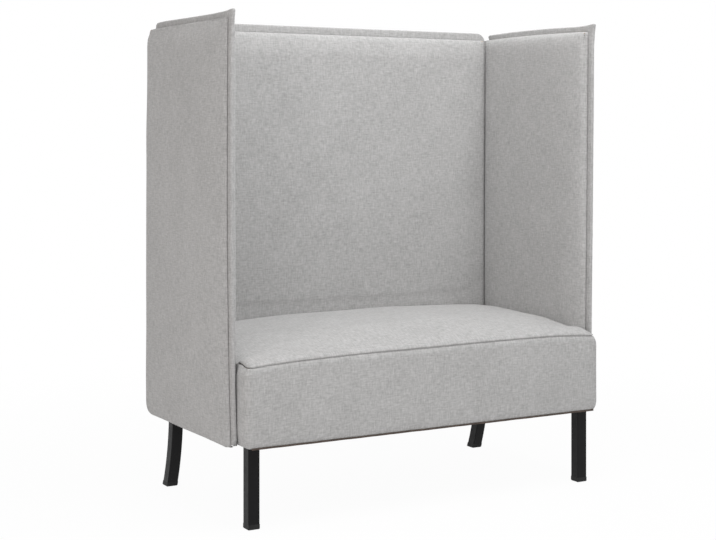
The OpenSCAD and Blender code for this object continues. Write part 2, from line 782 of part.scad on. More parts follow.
// Rail along X from zero to span, with a tenon at each end
module tenoned_rail(span, h, t) {
    cube([span, t, h]);
    translate([-tenon_l, t / 3, tenon_shoulder])
        cube([span + 2 * tenon_l, t / 3, h - 2 * tenon_shoulder]);
}

// Room for the tenons of such a rail
module tenon_slots(span, h, t) {
    g = tenon_gap;
    translate([-tenon_l - g, t / 3 - g, tenon_shoulder - g])
        cube([span + 2 * (tenon_l + g), t / 3 + 2 * g, h - 2 * (tenon_shoulder - g)]);
}

// Side profile with a rounded rear top corner, in Y and Z
module rounded_rear(y0, y1, z0, z1, r) {
    translate([y0, z0]) square([y1 - y0, z1 - z0 - r]);
    translate([y0, z0]) square([y1 - y0 - r, z1 - z0]);
    translate([y1 - r, z1 - r]) circle(r = r, $fn = 64);
}

// What is cut off the bottom edge of a timber with its rear face at y1
module low_edge(y1, r) {
    along_x(-core_out_x - over, 2 * (core_out_x + over)) difference() {
        translate([y1 - r, underside_h - over]) square([r + over, r + over]);
        translate([y1 - r, underside_h + r]) circle(r = r, $fn = 64);
    }
}

module fixing_board(side) {
    color(board) on_side(side) difference() {
        box([rail_x, board_front_y, underside_h], [core_in_x, seat_rear_y, board_top]);
        side_bolt_places() bolt_hole(side_grip);
    }
}

// Wing rails start at these heights: [height above the floor, size]
wing_rails = [[core_top - stile_w, stile_w], [mid_rail_z, stile_w], [underside_h, bottom_rail_h]];
wing_rail_span = core_rear_y - core_front_y - 2 * stile_w;
module wing_rail_place(z) {
    translate([timber_out_x, core_front_y + stile_w, z]) rotate([0, 0, 90]) children();
}

module wing_slots() {
    for (r = wing_rails) wing_rail_place(r[0]) tenon_slots(wing_rail_span, r[1], wing_timber_t);
}

module wing_rail(side, i) {
    color(timber) on_side(side) difference() {
        wing_rail_place(wing_rails[i][0]) tenoned_rail(wing_rail_span, wing_rails[i][1], wing_timber_t);
        side_bolt_places() bolt_hole(side_grip);
        side_bolt_places() nut_pocket(side_grip);
    }
}

module wing_front_stile(side) {
    color(timber) on_side(side) difference() {
        box([timber_in_x, core_front_y, underside_h], [timber_out_x, core_front_y + stile_w, core_top]);
        wing_slots();
    }
}

// The rear post is the wing's rear stile with a thick strip that fills the corner
module wing_rear_post(side) {
    y0 = core_rear_y - stile_w;
    color(timber) on_side(side) difference() {
        union() {
            along_x(timber_in_x, wing_timber_t)
                rounded_rear(y0, core_rear_y, underside_h, core_top, timber_roll_r);
            along_x(back_core_x, timber_in_x - back_core_x)
                rounded_rear(post_front_y, core_rear_y, underside_h, core_top, timber_roll_r);
        }
        low_edge(core_rear_y, timber_low_r);
        wing_slots();
        corner_bolt_places() bolt_hole(corner_grip);
        corner_bolt_places() translate([0, 0, -head_pocket - over])
            cylinder(h = head_pocket + over, d = bolt_head_d + 2 * pocket_gap, $fn = 48);
    }
}

// Hardboard on both faces; the inner one stops at the thick strip
module wing_skins(side) {
    color(board) on_side(side) difference() {
        union() {
            box([core_in_x, core_front_y, underside_h], [timber_in_x, post_front_y - fit_gap, core_top]);
            along_x(timber_out_x, skin_t)
                rounded_rear(core_front_y, core_rear_y, underside_h, core_top, timber_roll_r);
        }
        low_edge(core_rear_y, timber_low_r);
        side_bolt_places() bolt_hole(side_grip - over - wing_timber_t);
    }
}

// Flange of a wing: up the front edge and back along the top to the back panel
flange_end_y = back_flange_y + flange_t;
flange_low_z = underside_h - 2 * under_t;
flange_foot_r = 18;
peak_run = 90;
end_dip = 5;
bend_shares = [1, 0.75, 0.5, 0.28, 0.1];
function flange_front(z) = wing_front_y - corner_reach * pow(max(0, 1 - (overall_h - z) / peak_run), 2);
function flange_top(y) = overall_h + corner_peak * pow(max(0, 1 - (y - wing_front_y) / peak_run), 2)
    - end_dip * pow(max(0, 1 - (flange_end_y - y) / peak_run), 2);
function wing_flange_outline() = let (r = flange_foot_r)
    concat(
        [for (s = bend_shares) let (z = overall_h - peak_run * s) [flange_front(z), z]],
        [[wing_front_y - corner_reach, overall_h + corner_peak]],
        [for (i = [len(bend_shares) - 1 : -1 : 0])
            let (y = wing_front_y + peak_run * bend_shares[i]) [y, flange_top(y)]],
        [for (s = bend_shares) let (y = flange_end_y - peak_run * s) [y, flange_top(y)]],
        [[flange_end_y, flange_top(flange_end_y)], [flange_end_y, core_top],
         [core_front_y, core_top], [core_front_y, flange_low_z]],
        arc(wing_front_y + r, flange_low_z + r, r, 270, 180, 5));

module wing_flange(side) {
    color(fabric_dark) on_side(side) along_x(flange_in_x, flange_t) polygon(wing_flange_outline());
}

// Heights at which the padding's rings lie, with the fullness there, from the
// top crease down; the last two turn over the timber's edge
function top_levels() = [for (i = [len(roll_shares) - 1 : -1 : 2])
    let (s = roll_shares[i]) [min(crease_z - top_roll * s, core_top + fit_gap / 3), swell(s), 0]];
lip_full_share = 0.3;
function lip_levels() = [[core_top + 2 * fit_gap, lip_full_share, 1], [crease_z, lip_full_share / 2, 1]];

// Right wing, inner padding: faces the seat, notched over the fixing board
low_face_x = seat_x + fit_gap;
pad_rear_y = back_flange_y + flange_t - fit_gap / 2;
inner_pad_floor = underside_h - under_t;
function inner_face(y, full) = min(core_in_x - cover_t,
    mix(flange_in_x, wing_face_x, full * swell((y - crease_y) / front_roll)));
function inner_ring(level, rear_y) = let (
    z = level[0], full = level[1], lip = level[2] == 1,
    in_x = lip ? flange_in_x - fit_gap : core_in_x,
    low = rear_y < back_core_y,
    least_x = low ? low_face_x : 0,
    run = low ? rear_y - crease_y : front_roll,
    ys = [for (s = roll_shares) crease_y + run * s])
    lift(concat(
        [[flange_in_x - fit_gap, crease_y], [flange_in_x - fit_gap, core_front_y - edge_wrap / 2],
         [in_x, core_front_y - fit_gap], [in_x, rear_y], [max(least_x, inner_face(rear_y, full)), rear_y]],
        [for (i = [len(ys) - 1 : -1 : 1]) let (y = min(ys[i], rear_y - fit_gap))
            [max(least_x, inner_face(y, full)), y]]), z);

module wing_inner_pad(side) {
    low_rear = board_front_y - fit_gap;
    lows = [for (z = [inner_pad_floor, board_top]) inner_ring([z, 1, 0], low_rear)];
    highs = [for (level = concat([[board_top + fit_gap, 1, 0]], top_levels(), lip_levels()))
        inner_ring(level, pad_rear_y)];
    color(fabric) on_side(side) loft(concat(lows, highs));
}

// Right wing, outer padding: turns over every edge and round the rear corner
outer_low_shares = [0.04, 0.14, 0.32, 0.6, 1, 1.4];
bottom_roll = 26;
side_mid_shares = [0.35, 0.7];
corner_steps = 5;
function outer_face(y, full) = max(core_out_x + cover_t,
    mix(flange_out_x, wing_out_x, full * swell((y - crease_y) / front_roll)));
function outer_ring(level) = let (
    z = level[0], full = level[1], lip = level[2],
    rear = back_rear_y - pad_off(z),
    inner_rear = pad_seat_y(z),
    out = flange_out_x + fit_gap,
    in_x = lip == 1 ? out : lip == -1 ? core_in_x : core_out_x,
    low_y = lip == -1 ? core_front_y + fit_gap : core_front_y - fit_gap,
    behind_y = flange_end_y + fit_gap,
    face = outer_face(crease_y + front_roll, full),
    r = min(rear_corner_r, rear - inner_rear - fit_gap, face - rear_in_x - fit_gap),
    ys = [for (s = roll_shares) crease_y + front_roll * s],
    end_y = rear - r)
    lift(concat(
        [[out, crease_y]],
        [for (i = [1 : len(ys) - 1]) [outer_face(ys[i], full), ys[i]]],
        [for (s = side_mid_shares) [face, mix(ys[len(ys) - 1], end_y, s)]],
        arc(face - r, end_y, r, 0, 90, corner_steps),
        [[rear_in_x, rear], [rear_in_x, inner_rear],
         lip == 1 ? [rear_in_x, behind_y] : [in_x, inner_rear], [in_x, behind_y], [in_x, low_y],
         [out, lip == -1 ? low_y - fit_gap : core_front_y - edge_wrap / 2]]), z);

function bottom_levels() = concat(
    [[underside_h - under_t, lip_full_share, -1], [underside_h - fit_gap, lip_full_share * 2, -1]],
    [for (s = outer_low_shares) [underside_h + bottom_roll * s, swell(s), 0]]);

module wing_outer_pad(side) {
    color(fabric) on_side(side)
        loft([for (level = concat(bottom_levels(), top_levels(), lip_levels())) outer_ring(level)]);
}

// Back panel
module back_stile(side) {
    color(timber) difference() {
        on_side(side) difference() {
            union() {
                box([back_core_x - stile_w, back_core_y, underside_h],
                    [back_core_x, core_rear_y - skin_t, core_top - stile_w]);
                box([back_core_x - stile_w + tenon_shoulder, back_core_y + back_timber_t / 3,
                        core_top - stile_w - over],
                    [back_core_x - tenon_shoulder, back_core_y + back_timber_t * 2 / 3,
                        core_top - stile_w + tenon_l]);
            }
            low_edge(core_rear_y - skin_t, timber_low_r - skin_t);
            corner_bolt_places() bolt_hole(corner_grip);
            corner_bolt_places() nut_pocket(corner_grip);
        }
        back_slots();
    }
}

back_span = 2 * (back_core_x - stile_w);
back_rails = [[mid_rail_z, stile_w], [underside_h, bottom_rail_h]];
module back_rail_place(z) {
    translate([-back_span / 2, back_core_y, z]) children();
}

module back_slots() {
    for (r = back_rails) back_rail_place(r[0]) tenon_slots(back_span, r[1], back_timber_t);
}

module back_rail(i) {
    color(timber) difference() {
        back_rail_place(back_rails[i][0]) tenoned_rail(back_span, back_rails[i][1], back_timber_t);
        low_edge(core_rear_y - skin_t, timber_low_r - skin_t);
        back_bolt_places() bolt_hole(back_grip);
        back_bolt_places() nut_pocket(back_grip);
    }
}

module back_top_rail() {
    g = tenon_gap;
    color(timber) difference() {
        along_x(-back_core_x, 2 * back_core_x)
            rounded_rear(back_core_y, core_rear_y - skin_t, core_top - stile_w, core_top, timber_roll_r);
        both_sides() box([back_core_x - stile_w + tenon_shoulder - g, back_core_y + back_timber_t / 3 - g,
                core_top - stile_w - over],
            [back_core_x - tenon_shoulder + g, back_core_y + back_timber_t * 2 / 3 + g,
                core_top - stile_w + tenon_l + g]);
    }
}

module back_fixing_board() {
    color(board) difference() {
        box([-back_core_x, seat_rear_y, underside_h], [back_core_x, back_core_y, board_top]);
        back_bolt_places() bolt_hole(back_grip);
    }
}

// Elastic straps stapled across the front of the frame
strap_t = 1.2;
strap_w = 60;
strap_count = 7;
strap_lap = 45;
module back_webbing() {
    x1 = back_core_x - stile_w + strap_lap;
    low = board_top + strap_w;
    step = (core_top - strap_w - low) / (strap_count - 1);
    color([0.2, 0.2, 0.2]) for (i = [0 : strap_count - 1])
        box([-x1, back_core_y - strap_t, low + i * step - strap_w / 2],
            [x1, back_core_y, low + i * step + strap_w / 2]);
}

module back_rear_skin() {
    color(board) box([-back_core_x, core_rear_y - skin_t, underside_h + timber_low_r],
        [back_core_x, core_rear_y, core_top - timber_roll_r]);
}

module back_flange() {
    r = flange_corner_r;
    color(fabric_dark) along_y(back_flange_y, flange_t) difference() {
        union() {
            translate([-back_x, underside_h]) square([2 * back_x, overall_h - underside_h - r]);
            translate([r - back_x, underside_h]) square([2 * (back_x - r), overall_h - underside_h]);
            for (side = [-1, 1]) translate([side * (back_x - r), overall_h - r]) circle(r = r, $fn = 64);
        }
        translate([-back_core_x, underside_h - over])
            square([2 * back_core_x, core_top - underside_h + over]);
    }
}

// Front padding of the back, from the seat up
front_mid_shares = [0.35, 0.75];
pad_edge_x = back_core_x + edge_wrap;
back_inner_y = back_core_y - strap_t;
function back_face(x, full) = let (
    run = pad_edge_x - abs(x),
    side = swell(run / side_roll),
    thick = back_pad_t - back_crown * pow(abs(x) / pad_edge_x, 2))
    min(back_inner_y - cover_t, mix(back_flange_y, back_core_y - thick, full * side));
function front_xs() = [for (i = [len(roll_shares) - 1 : -1 : 1]) pad_edge_x - side_roll * roll_shares[i]];
function front_ring(level) = let (
    z = level[0], full = level[1], lip = level[2] == 1,
    rear_y = back_flange_y - fit_gap,
    in_x = back_core_x + fit_gap,
    inside = lip ? [in_x - edge_wrap, rear_y] : [in_x, back_inner_y],
    half = [for (x = front_xs()) [x, back_face(x, full)]],
    n = len(half),
    mids = [for (s = front_mid_shares) (pad_edge_x - side_roll) * s])
    lift(concat(
        [[-pad_edge_x, rear_y]],
        [for (i = [n - 1 : -1 : 0]) [-half[i].x, half[i].y]],
        [for (i = [1, 0]) [-mids[i], back_face(mids[i], full)]],
        [[0, back_face(0, full)]],
        [for (x = mids) [x, back_face(x, full)]],
        half,
        [[pad_edge_x, rear_y], [in_x, rear_y], inside, [-inside.x, inside.y], [-in_x, rear_y]]), z);

module back_front_pad() {
    levels = concat([[board_top, 1, 0], [(board_top + crease_z) / 2, 1, 0]], top_levels(), lip_levels());
    color(fabric) loft([for (level = levels) front_ring(level)]);
}

// Rear padding, between the side covers; its top laps over the rail to the flange
rear_side_x = rear_in_x - fit_gap;
rear_side_roll = 20;
rear_edge_shares = [0, 0.06, 0.3, 1];
function rear_face(x, full, z) = let (s = swell((rear_side_x - abs(x)) / rear_side_roll))
    back_rear_y - pad_off(z) - rear_draw * (1 - s) * full;
function rear_ring(level) = let (
    z = level[0], full = level[1], lip = level[2] == 1,
    inner_y = lip ? flange_end_y + fit_gap : pad_seat_y(z),
    xs = [for (s = rear_edge_shares) rear_side_x - rear_side_roll * s])
    lift(concat(
        [[-rear_side_x, inner_y], [rear_side_x, inner_y]],
        [for (x = xs) [x, rear_face(x, full, z)]],
        [[0, rear_face(0, full, z)]],
        [for (i = [len(xs) - 1 : -1 : 0]) [-xs[i], rear_face(xs[i], full, z)]]), z);

module back_rear_pad() {
    levels = concat([for (level = bottom_levels()) [level[0], 1, 0]], top_levels(), lip_levels());
    color(fabric) loft([for (level = levels) rear_ring(level)]);
}

leg_front(-1);  // leg_front_left
leg_front(1);  // leg_front_right
leg_rear(-1);  // leg_rear_left
leg_rear(1);  // leg_rear_right
glide(-1, false);  // glide_front_left
glide(1, false);  // glide_front_right
glide(-1, true);  // glide_rear_left
glide(1, true);  // glide_rear_right
leg_bolts();
panel_bolts();
corner_bolts();
tee_nuts();
seat_front_rail();
seat_rear_rail();
seat_side_rail(-1);  // seat_left_rail
seat_side_rail(1);  // seat_right_rail
seat_centre_rail();
corner_blocks();
rail_dowels();
seat_springs();
spring_clips();
seat_felt();
seat_foam();
seat_top();
seat_border();
dust_cover();
back_stile(-1);  // back_left_stile
back_stile(1);  // back_right_stile
back_top_rail();
back_rail(0);  // back_mid_rail
back_rail(1);  // back_bottom_rail
back_fixing_board();
back_webbing();
back_rear_skin();
back_flange();
back_front_pad();
back_rear_pad();
wing_front_stile(-1);  // wing_left_front_stile
wing_rear_post(-1);  // wing_left_rear_post
wing_rail(-1, 0);  // wing_left_top_rail
wing_rail(-1, 1);  // wing_left_mid_rail
wing_rail(-1, 2);  // wing_left_bottom_rail
wing_skins(-1);  // wing_left_skins
fixing_board(-1);  // wing_left_fixing_board
wing_flange(-1);  // wing_left_flange
wing_inner_pad(-1);  // wing_left_inner_pad
wing_outer_pad(-1);  // wing_left_outer_pad
wing_front_stile(1);  // wing_right_front_stile
wing_rear_post(1);  // wing_right_rear_post
wing_rail(1, 0);  // wing_right_top_rail
wing_rail(1, 1);  // wing_right_mid_rail
wing_rail(1, 2);  // wing_right_bottom_rail
wing_skins(1);  // wing_right_skins
fixing_board(1);  // wing_right_fixing_board
wing_flange(1);  // wing_right_flange
wing_inner_pad(1);  // wing_right_inner_pad
wing_outer_pad(1);  // wing_right_outer_pad
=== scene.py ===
"""Looks of a high-back sofa: sewn covers, flanges, seat, feet, timber and a studio stage."""

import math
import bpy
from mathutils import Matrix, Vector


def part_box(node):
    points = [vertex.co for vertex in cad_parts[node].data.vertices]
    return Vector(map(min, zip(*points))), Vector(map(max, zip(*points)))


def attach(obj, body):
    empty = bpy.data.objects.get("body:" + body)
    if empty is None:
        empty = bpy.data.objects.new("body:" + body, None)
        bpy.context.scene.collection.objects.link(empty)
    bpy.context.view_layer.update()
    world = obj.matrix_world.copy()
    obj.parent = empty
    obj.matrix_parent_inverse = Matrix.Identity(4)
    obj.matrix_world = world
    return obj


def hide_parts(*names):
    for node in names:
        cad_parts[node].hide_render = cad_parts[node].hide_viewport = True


bl_info = {
    "name": "High-back sofa covers",
    "version": (1, 0, 0),
    "blender": (4, 5, 0),
    "location": "3D View > Sidebar > Sofa",
    "description": "Upholstery and finishes for a high-back sofa on a packed frame",
    "category": "Object",
}

import bpy
import numpy as np

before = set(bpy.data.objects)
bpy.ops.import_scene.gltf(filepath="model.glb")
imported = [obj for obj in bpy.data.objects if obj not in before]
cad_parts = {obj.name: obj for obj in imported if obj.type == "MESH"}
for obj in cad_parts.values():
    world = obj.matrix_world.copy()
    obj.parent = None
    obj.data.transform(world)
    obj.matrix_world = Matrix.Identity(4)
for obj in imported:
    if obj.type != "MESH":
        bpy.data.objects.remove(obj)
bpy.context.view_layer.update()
MM = 0.001
BODY = "root"


def low(node):
    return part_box(node)[0]


def high(node):
    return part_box(node)[1]


# Levels of the frame that the covers are fitted to
UNDERSIDE = low("seat_front_rail").z
CORE_IN_X, CORE_OUT_X = low("wing_right_skins").x, high("wing_right_skins").x
CORE_FRONT_Y, CORE_REAR_Y = low("wing_right_skins").y, high("wing_right_skins").y
CORE_TOP = high("wing_right_skins").z
FLANGE_IN_X, FLANGE_OUT_X = low("wing_right_flange").x, high("wing_right_flange").x
WING_FACE_X, WING_OUT_X = low("wing_right_inner_pad").x, high("wing_right_outer_pad").x
CREASE_Y, PAD_REAR_Y = low("wing_right_inner_pad").y, high("wing_right_inner_pad").y
CREASE_Z, PAD_LOW_Z = high("wing_right_inner_pad").z, low("wing_right_inner_pad").z
COVER_REAR_Y = high("back_rear_pad").y
REAR_SEAM_X = high("back_rear_pad").x
BACK_X, BACK_CORE_X = high("back_flange").x, high("back_fixing_board").x
BACK_FLANGE_Y0, BACK_FLANGE_Y1 = low("back_flange").y, high("back_flange").y
BACK_CORE_Y = high("back_fixing_board").y
BACK_EDGE_X = high("back_front_pad").x
BACK_FACE_Y = low("back_front_pad").y
BACK_LOW_Z = low("back_front_pad").z
FLANGE_TOP = high("back_flange").z
RAIL_FRONT_Y, RAIL_X = low("seat_front_rail").y, high("seat_front_rail").x
SEAT_FRONT_Y, SEAT_X = low("seat_border").y, RAIL_X + 4.5 * MM
SEAT_REAR_Y = high("seat_top").y
BORDER_REAR_Y = high("seat_border").y
CROWN_Z, FOAM_TOP = high("seat_top").z, high("seat_foam").z
SEAM_Z = high("seat_border").z
BOARD_REAR_Y = low("wing_right_fixing_board").y
UNDER_T = UNDERSIDE - low("seat_border").z
SEAM_TURN = 0.3 * MM
COVER_T = 1.2 * MM
CORNER_R = 12 * MM       # radius of the seat's front corners
OVER_CORE = 0.2 * MM     # a section this far over the core's top lies clear of it
TUCK_SHARE = 0.9         # share of the crease's depth that a cover turns down at its top
FULL_SAG = 6 * MM        # sag at which the left outer cover rounds fully over the core
SEAM_REACH = 12 * MM     # how far puckers reach from a seam
SEAM_FADE = 6 * MM       # distance below the top crease over which relief fades in
ROLL_POINTS = 18         # points of a section over the roll of a wing's padding
SETTLE_FRAMES = 20       # frames of cloth simulation for each cover
SIDES = (("left", -1), ("right", 1))


class SofaSizes(bpy.types.PropertyGroup):
    """Sizes of the sewn work that a user would change."""

    crease_gap: bpy.props.FloatProperty(
        name="Crease gap", description="Gap between a cover and its flange", unit="LENGTH",
        default=1.0 * MM, min=0.2 * MM, max=3 * MM)
    crease_depth: bpy.props.FloatProperty(
        name="Crease depth", description="How deep a cover tucks in beside its flange", unit="LENGTH",
        default=2.6 * MM, min=1 * MM, max=6 * MM)
    flange_round: bpy.props.FloatProperty(
        name="Flange edge", description="Roundness of a flange's edge", unit="LENGTH",
        default=4.5 * MM, min=1 * MM, max=5 * MM)
    front_roll: bpy.props.FloatProperty(
        name="Front roll", description="Distance over which a wing's padding rolls to its front", unit="LENGTH",
        default=95 * MM, min=40 * MM, max=130 * MM)
    top_roll: bpy.props.FloatProperty(
        name="Top roll", description="Distance over which padding rolls to the top flange", unit="LENGTH",
        default=62 * MM, min=30 * MM, max=90 * MM)
    side_roll: bpy.props.FloatProperty(
        name="Back side roll", description="Distance over which the back's padding rolls to its sides",
        unit="LENGTH", default=65 * MM, min=15 * MM, max=80 * MM)
    pucker_pitch: bpy.props.FloatProperty(
        name="Pucker pitch", description="Spacing of the small puckers along a seam", unit="LENGTH",
        default=21 * MM, min=8 * MM, max=50 * MM)
    pucker_height: bpy.props.FloatProperty(
        name="Pucker height", description="Height of the puckers along a seam", unit="LENGTH",
        default=0.35 * MM, min=0, max=2 * MM)
    ripple_height: bpy.props.FloatProperty(
        name="Ripple height", description="Height of the slow waves in the padding", unit="LENGTH",
        default=0.5 * MM, min=0, max=3 * MM)
    seat_pressure: bpy.props.FloatProperty(
        name="Seat pressure", description="Pressure of the filling when the seat's cover is settled",
        default=3.0, min=0.0, max=10.0)
    cover_pressure: bpy.props.FloatProperty(
        name="Cover pressure", description="Pressure of the padding when the other covers are settled",
        default=2.0, min=0.0, max=10.0)
    wing_lean: bpy.props.FloatProperty(
        name="Wing lean",
        description="One step of how far the wings' fronts stand in or out along their height",
        unit="LENGTH", default=1 * MM, min=0, max=2 * MM)
    top_hook: bpy.props.FloatProperty(
        name="Top hook", description="How far the rear end of a wing's top edge leans in", unit="LENGTH",
        default=8 * MM, min=0, max=20 * MM)
    top_bow: bpy.props.FloatProperty(
        name="Top bow", description="How far the right wing's top bows up", unit="LENGTH",
        default=5.5 * MM, min=0, max=10 * MM)
    back_rise: bpy.props.FloatProperty(
        name="Back's rise", description="How far the back's flange stands over the wings' flanges",
        unit="LENGTH", default=5.5 * MM, min=0, max=10 * MM)
    border_puff: bpy.props.FloatProperty(
        name="Border puff", description="How far the border puffs out at the seat's front corners",
        unit="LENGTH", default=8 * MM, min=0, max=12 * MM)
    return_puff: bpy.props.FloatProperty(
        name="Return puff", description="How far the border puffs out beside the wings' flanges", unit="LENGTH",
        default=9.5 * MM, min=0, max=15 * MM)


class SofaColours(bpy.types.PropertyGroup):
    """Colours and weave of the finishes."""

    cover_light: bpy.props.FloatVectorProperty(
        name="Light yarn", description="Lighter yarn of the cover", subtype="COLOR", size=3,
        default=(0.53, 0.525, 0.52), min=0, max=1)
    cover_dark: bpy.props.FloatVectorProperty(
        name="Dark yarn", description="Darker yarn of the cover", subtype="COLOR", size=3,
        default=(0.345, 0.341, 0.336), min=0, max=1)
    yarn_pitch: bpy.props.FloatProperty(
        name="Yarn pitch", description="Distance between yarns", unit="LENGTH",
        default=0.9 * MM, min=0.3 * MM, max=3 * MM)
    leg_black: bpy.props.FloatVectorProperty(
        name="Legs", description="Powder coat of the legs", subtype="COLOR", size=3,
        default=(0.006, 0.006, 0.0064), min=0, max=1)
    timber: bpy.props.FloatVectorProperty(
        name="Timber", description="Timber of the frame", subtype="COLOR", size=3,
        default=(0.60, 0.43, 0.25), min=0, max=1)
    floor: bpy.props.FloatVectorProperty(
        name="Floor", description="Colour of the studio floor", subtype="COLOR", size=3,
        default=(0.8, 0.8, 0.8), min=0, max=1)


def sizes():
    return bpy.context.scene.sofa_sizes


def colours():
    return bpy.context.scene.sofa_colours


# Shapes


def swell(share, power=2.4):
    """Fullness, 0 to 1, at a share of the way from a crease to where the padding is full."""
    share = np.clip(share, 0.0, 1.0)
    return (1 - (1 - share) ** power) ** (1 / power)


def shares(count, power=2.4):
    """Shares from 0 to 1 that lie closer together near 0, where a padding turns."""
    return np.linspace(0, 1, count) ** power


def mix(a, b, s):
    return a + (b - a) * s


def round_off(level, top, radius):
    """How far a quarter round has dropped at a level below its top."""
    rise = np.maximum(0, level - (top - radius))
    return radius - np.sqrt(np.maximum(0, radius * radius - rise * rise))


def wave(place, pitch, seed):
    """An uneven wave of about that pitch, between -1 and 1, the same each time."""
    draw = np.random.default_rng(seed)
    total = np.zeros_like(place)
    for stretch in (0.62, 1.0, 1.7):
        total += np.sin(2 * math.pi * (place / (pitch * stretch) + draw.random()))
    return total / 3


def ripple(points, pitch, seed):
    """Slow uneven waves through space, between about -1 and 1."""
    draw = np.random.default_rng(seed)
    total = np.zeros(len(points))
    count = 7
    for _ in range(count):
        way = draw.normal(size=3)
        way /= np.linalg.norm(way)
        length = pitch * draw.uniform(0.6, 1.5)
        total += np.sin(2 * math.pi * (points @ way / length + draw.random()))
    return total / math.sqrt(count)


def lengths_along(points, axis):
    """Running length along one axis of a grid of points, from zero."""
    steps = np.linalg.norm(np.diff(points, axis=axis), axis=2)
    pad = [(1, 0), (0, 0)] if axis == 0 else [(0, 0), (1, 0)]
    return np.cumsum(np.pad(steps, pad), axis=axis)


def mesh_piece(name, points, faces, thread_of_corner=None):
    """A smooth-shaded object of that mesh, with thread coordinates in metres."""
    mesh = bpy.data.meshes.new(name)
    mesh.from_pydata(np.asarray(points, float).tolist(), [], faces)
    if thread_of_corner is not None:
        layer = mesh.uv_layers.new(name="Threads")
        layer.data.foreach_set("uv", np.asarray(thread_of_corner, np.float32).ravel())
    mesh.shade_smooth()
    mesh.validate()
    piece = bpy.data.objects.new(name, mesh)
    bpy.context.scene.collection.objects.link(piece)
    return piece


def ring_piece(name, rings, flip=False):
    """A closed solid through rings of points; the first and last rings are capped."""
    rings = np.asarray(rings, float)
    count, n = rings.shape[:2]
    along = lengths_along(rings, 1)
    closing = along[:, -1:] + np.linalg.norm(rings[:, :1] - rings[:, -1:], axis=2)
    along = np.hstack([along, closing])
    home = n // 3
    up = lengths_along(rings, 0)[:, home]
    faces, threads = [], []
    for k in range(count - 1):
        for i in range(n):
            j = (i + 1) % n
            corners = [(k, i, i), (k, j, i + 1), (k + 1, j, i + 1), (k + 1, i, i)]
            corners = corners[::-1] if flip else corners
            faces.append([row * n + column for row, column, _ in corners])
            threads.extend((along[row, place], up[row]) for row, _, place in corners)
    for k, ids in ((0, range(n - 1, -1, -1)), (count - 1, range(n))):
        ids = list(ids)[::-1] if flip else list(ids)
        faces.append([k * n + i for i in ids])
        threads.extend((rings[k, i, 0], rings[k, i, 1]) for i in ids)
    return mesh_piece(name, rings.reshape(-1, 3), faces, threads)


def read_points(mesh, what="co"):
    """Places, or normals, of a mesh's points as rows of X, Y and Z."""
    values = np.zeros(len(mesh.vertices) * 3)
    mesh.vertices.foreach_get(what, values)
    return values.reshape(-1, 3)


def places(piece):
    return read_points(piece.data)


def move_points(piece, points):
    piece.data.vertices.foreach_set("co", points.ravel())
    piece.data.update()


def push_out(piece, heights):
    """Moves each point of a piece along its normal by its own height."""
    move_points(piece, places(piece) + read_points(piece.data, "normal") * heights[:, None])


def nearness(distance, reach=SEAM_REACH):
    """1 at a seam, fading with the distance from it."""
    return np.exp(-distance / reach)


def below_top(points):
    return CREASE_Z - points[:, 2]


def puckers(near, along, seed):
    """Heights of the small uneven puckers along a seam."""
    return sizes().pucker_height * near * wave(along, sizes().pucker_pitch, seed)


def seam_fade(points):
    """Share of the relief at each point: none at the top crease."""
    return np.clip(below_top(points) / SEAM_FADE, 0, 1)


def held_edges(outside, *edges):
    """How firmly points are held: 1 inside and along the edges, falling to 0 on the open cloth."""
    return np.where(outside, 1 - ease((np.minimum.reduce(edges) - 4 * MM) / (36 * MM)), 1.0)


def settle(piece, held, pressure, room=1 * MM, cap=2.5 * MM):
    """Lets a cover relax as cloth over its filling; held, 0 to 1 for each point, pins its seams.

    The cover starts drawn in by room, and no point moves further than cap."""
    push_out(piece, -room * (1 - held))
    scene = bpy.context.scene
    before = places(piece)
    group = piece.vertex_groups.new(name="held")
    for step in range(1, 11):
        group.add(np.flatnonzero(np.round(held * 10) == step).tolist(), step / 10, "REPLACE")
    cloth = piece.modifiers.new("Cloth", "CLOTH")
    cloth.settings.vertex_group_mass = group.name
    cloth.settings.quality = 4
    cloth.settings.use_pressure = True
    cloth.settings.uniform_pressure_force = pressure
    cloth.settings.effector_weights.gravity = 0.0
    cloth.collision_settings.use_collision = False
    cloth.point_cache.frame_start, cloth.point_cache.frame_end = 1, SETTLE_FRAMES
    for number in range(1, SETTLE_FRAMES + 1):
        scene.frame_set(number)
    shape = piece.evaluated_get(bpy.context.evaluated_depsgraph_get())
    move = read_points(shape.data) - before
    piece.modifiers.remove(cloth)
    piece.vertex_groups.remove(group)
    scene.frame_set(1)
    reach = np.linalg.norm(move, axis=1)
    move *= (cap / np.maximum(reach, cap))[:, None]
    move_points(piece, before + move)


def fit(piece, material, slot, *nodes):
    """Gives a piece its material, rides it on the sofa and hides what it stands for; slot is not used."""
    piece.data.materials.append(material)
    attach(piece, BODY)
    if nodes:
        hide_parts(*nodes)
    return piece


def mirrored(rings, side):
    rings = np.array(rings, float)
    rings[..., 0] *= side
    return rings


def ease(share):
    """A smooth step from 0 to 1."""
    share = np.clip(share, 0.0, 1.0)
    return share * share * (3 - 2 * share)


def smooth_table(place, stops, values, blur=0.03):
    """Values between a table's stops, with its corners rounded off."""
    return sum(np.interp(place + blur * s, stops, values) for s in (-1, -0.5, 0, 0.5, 1)) / 5


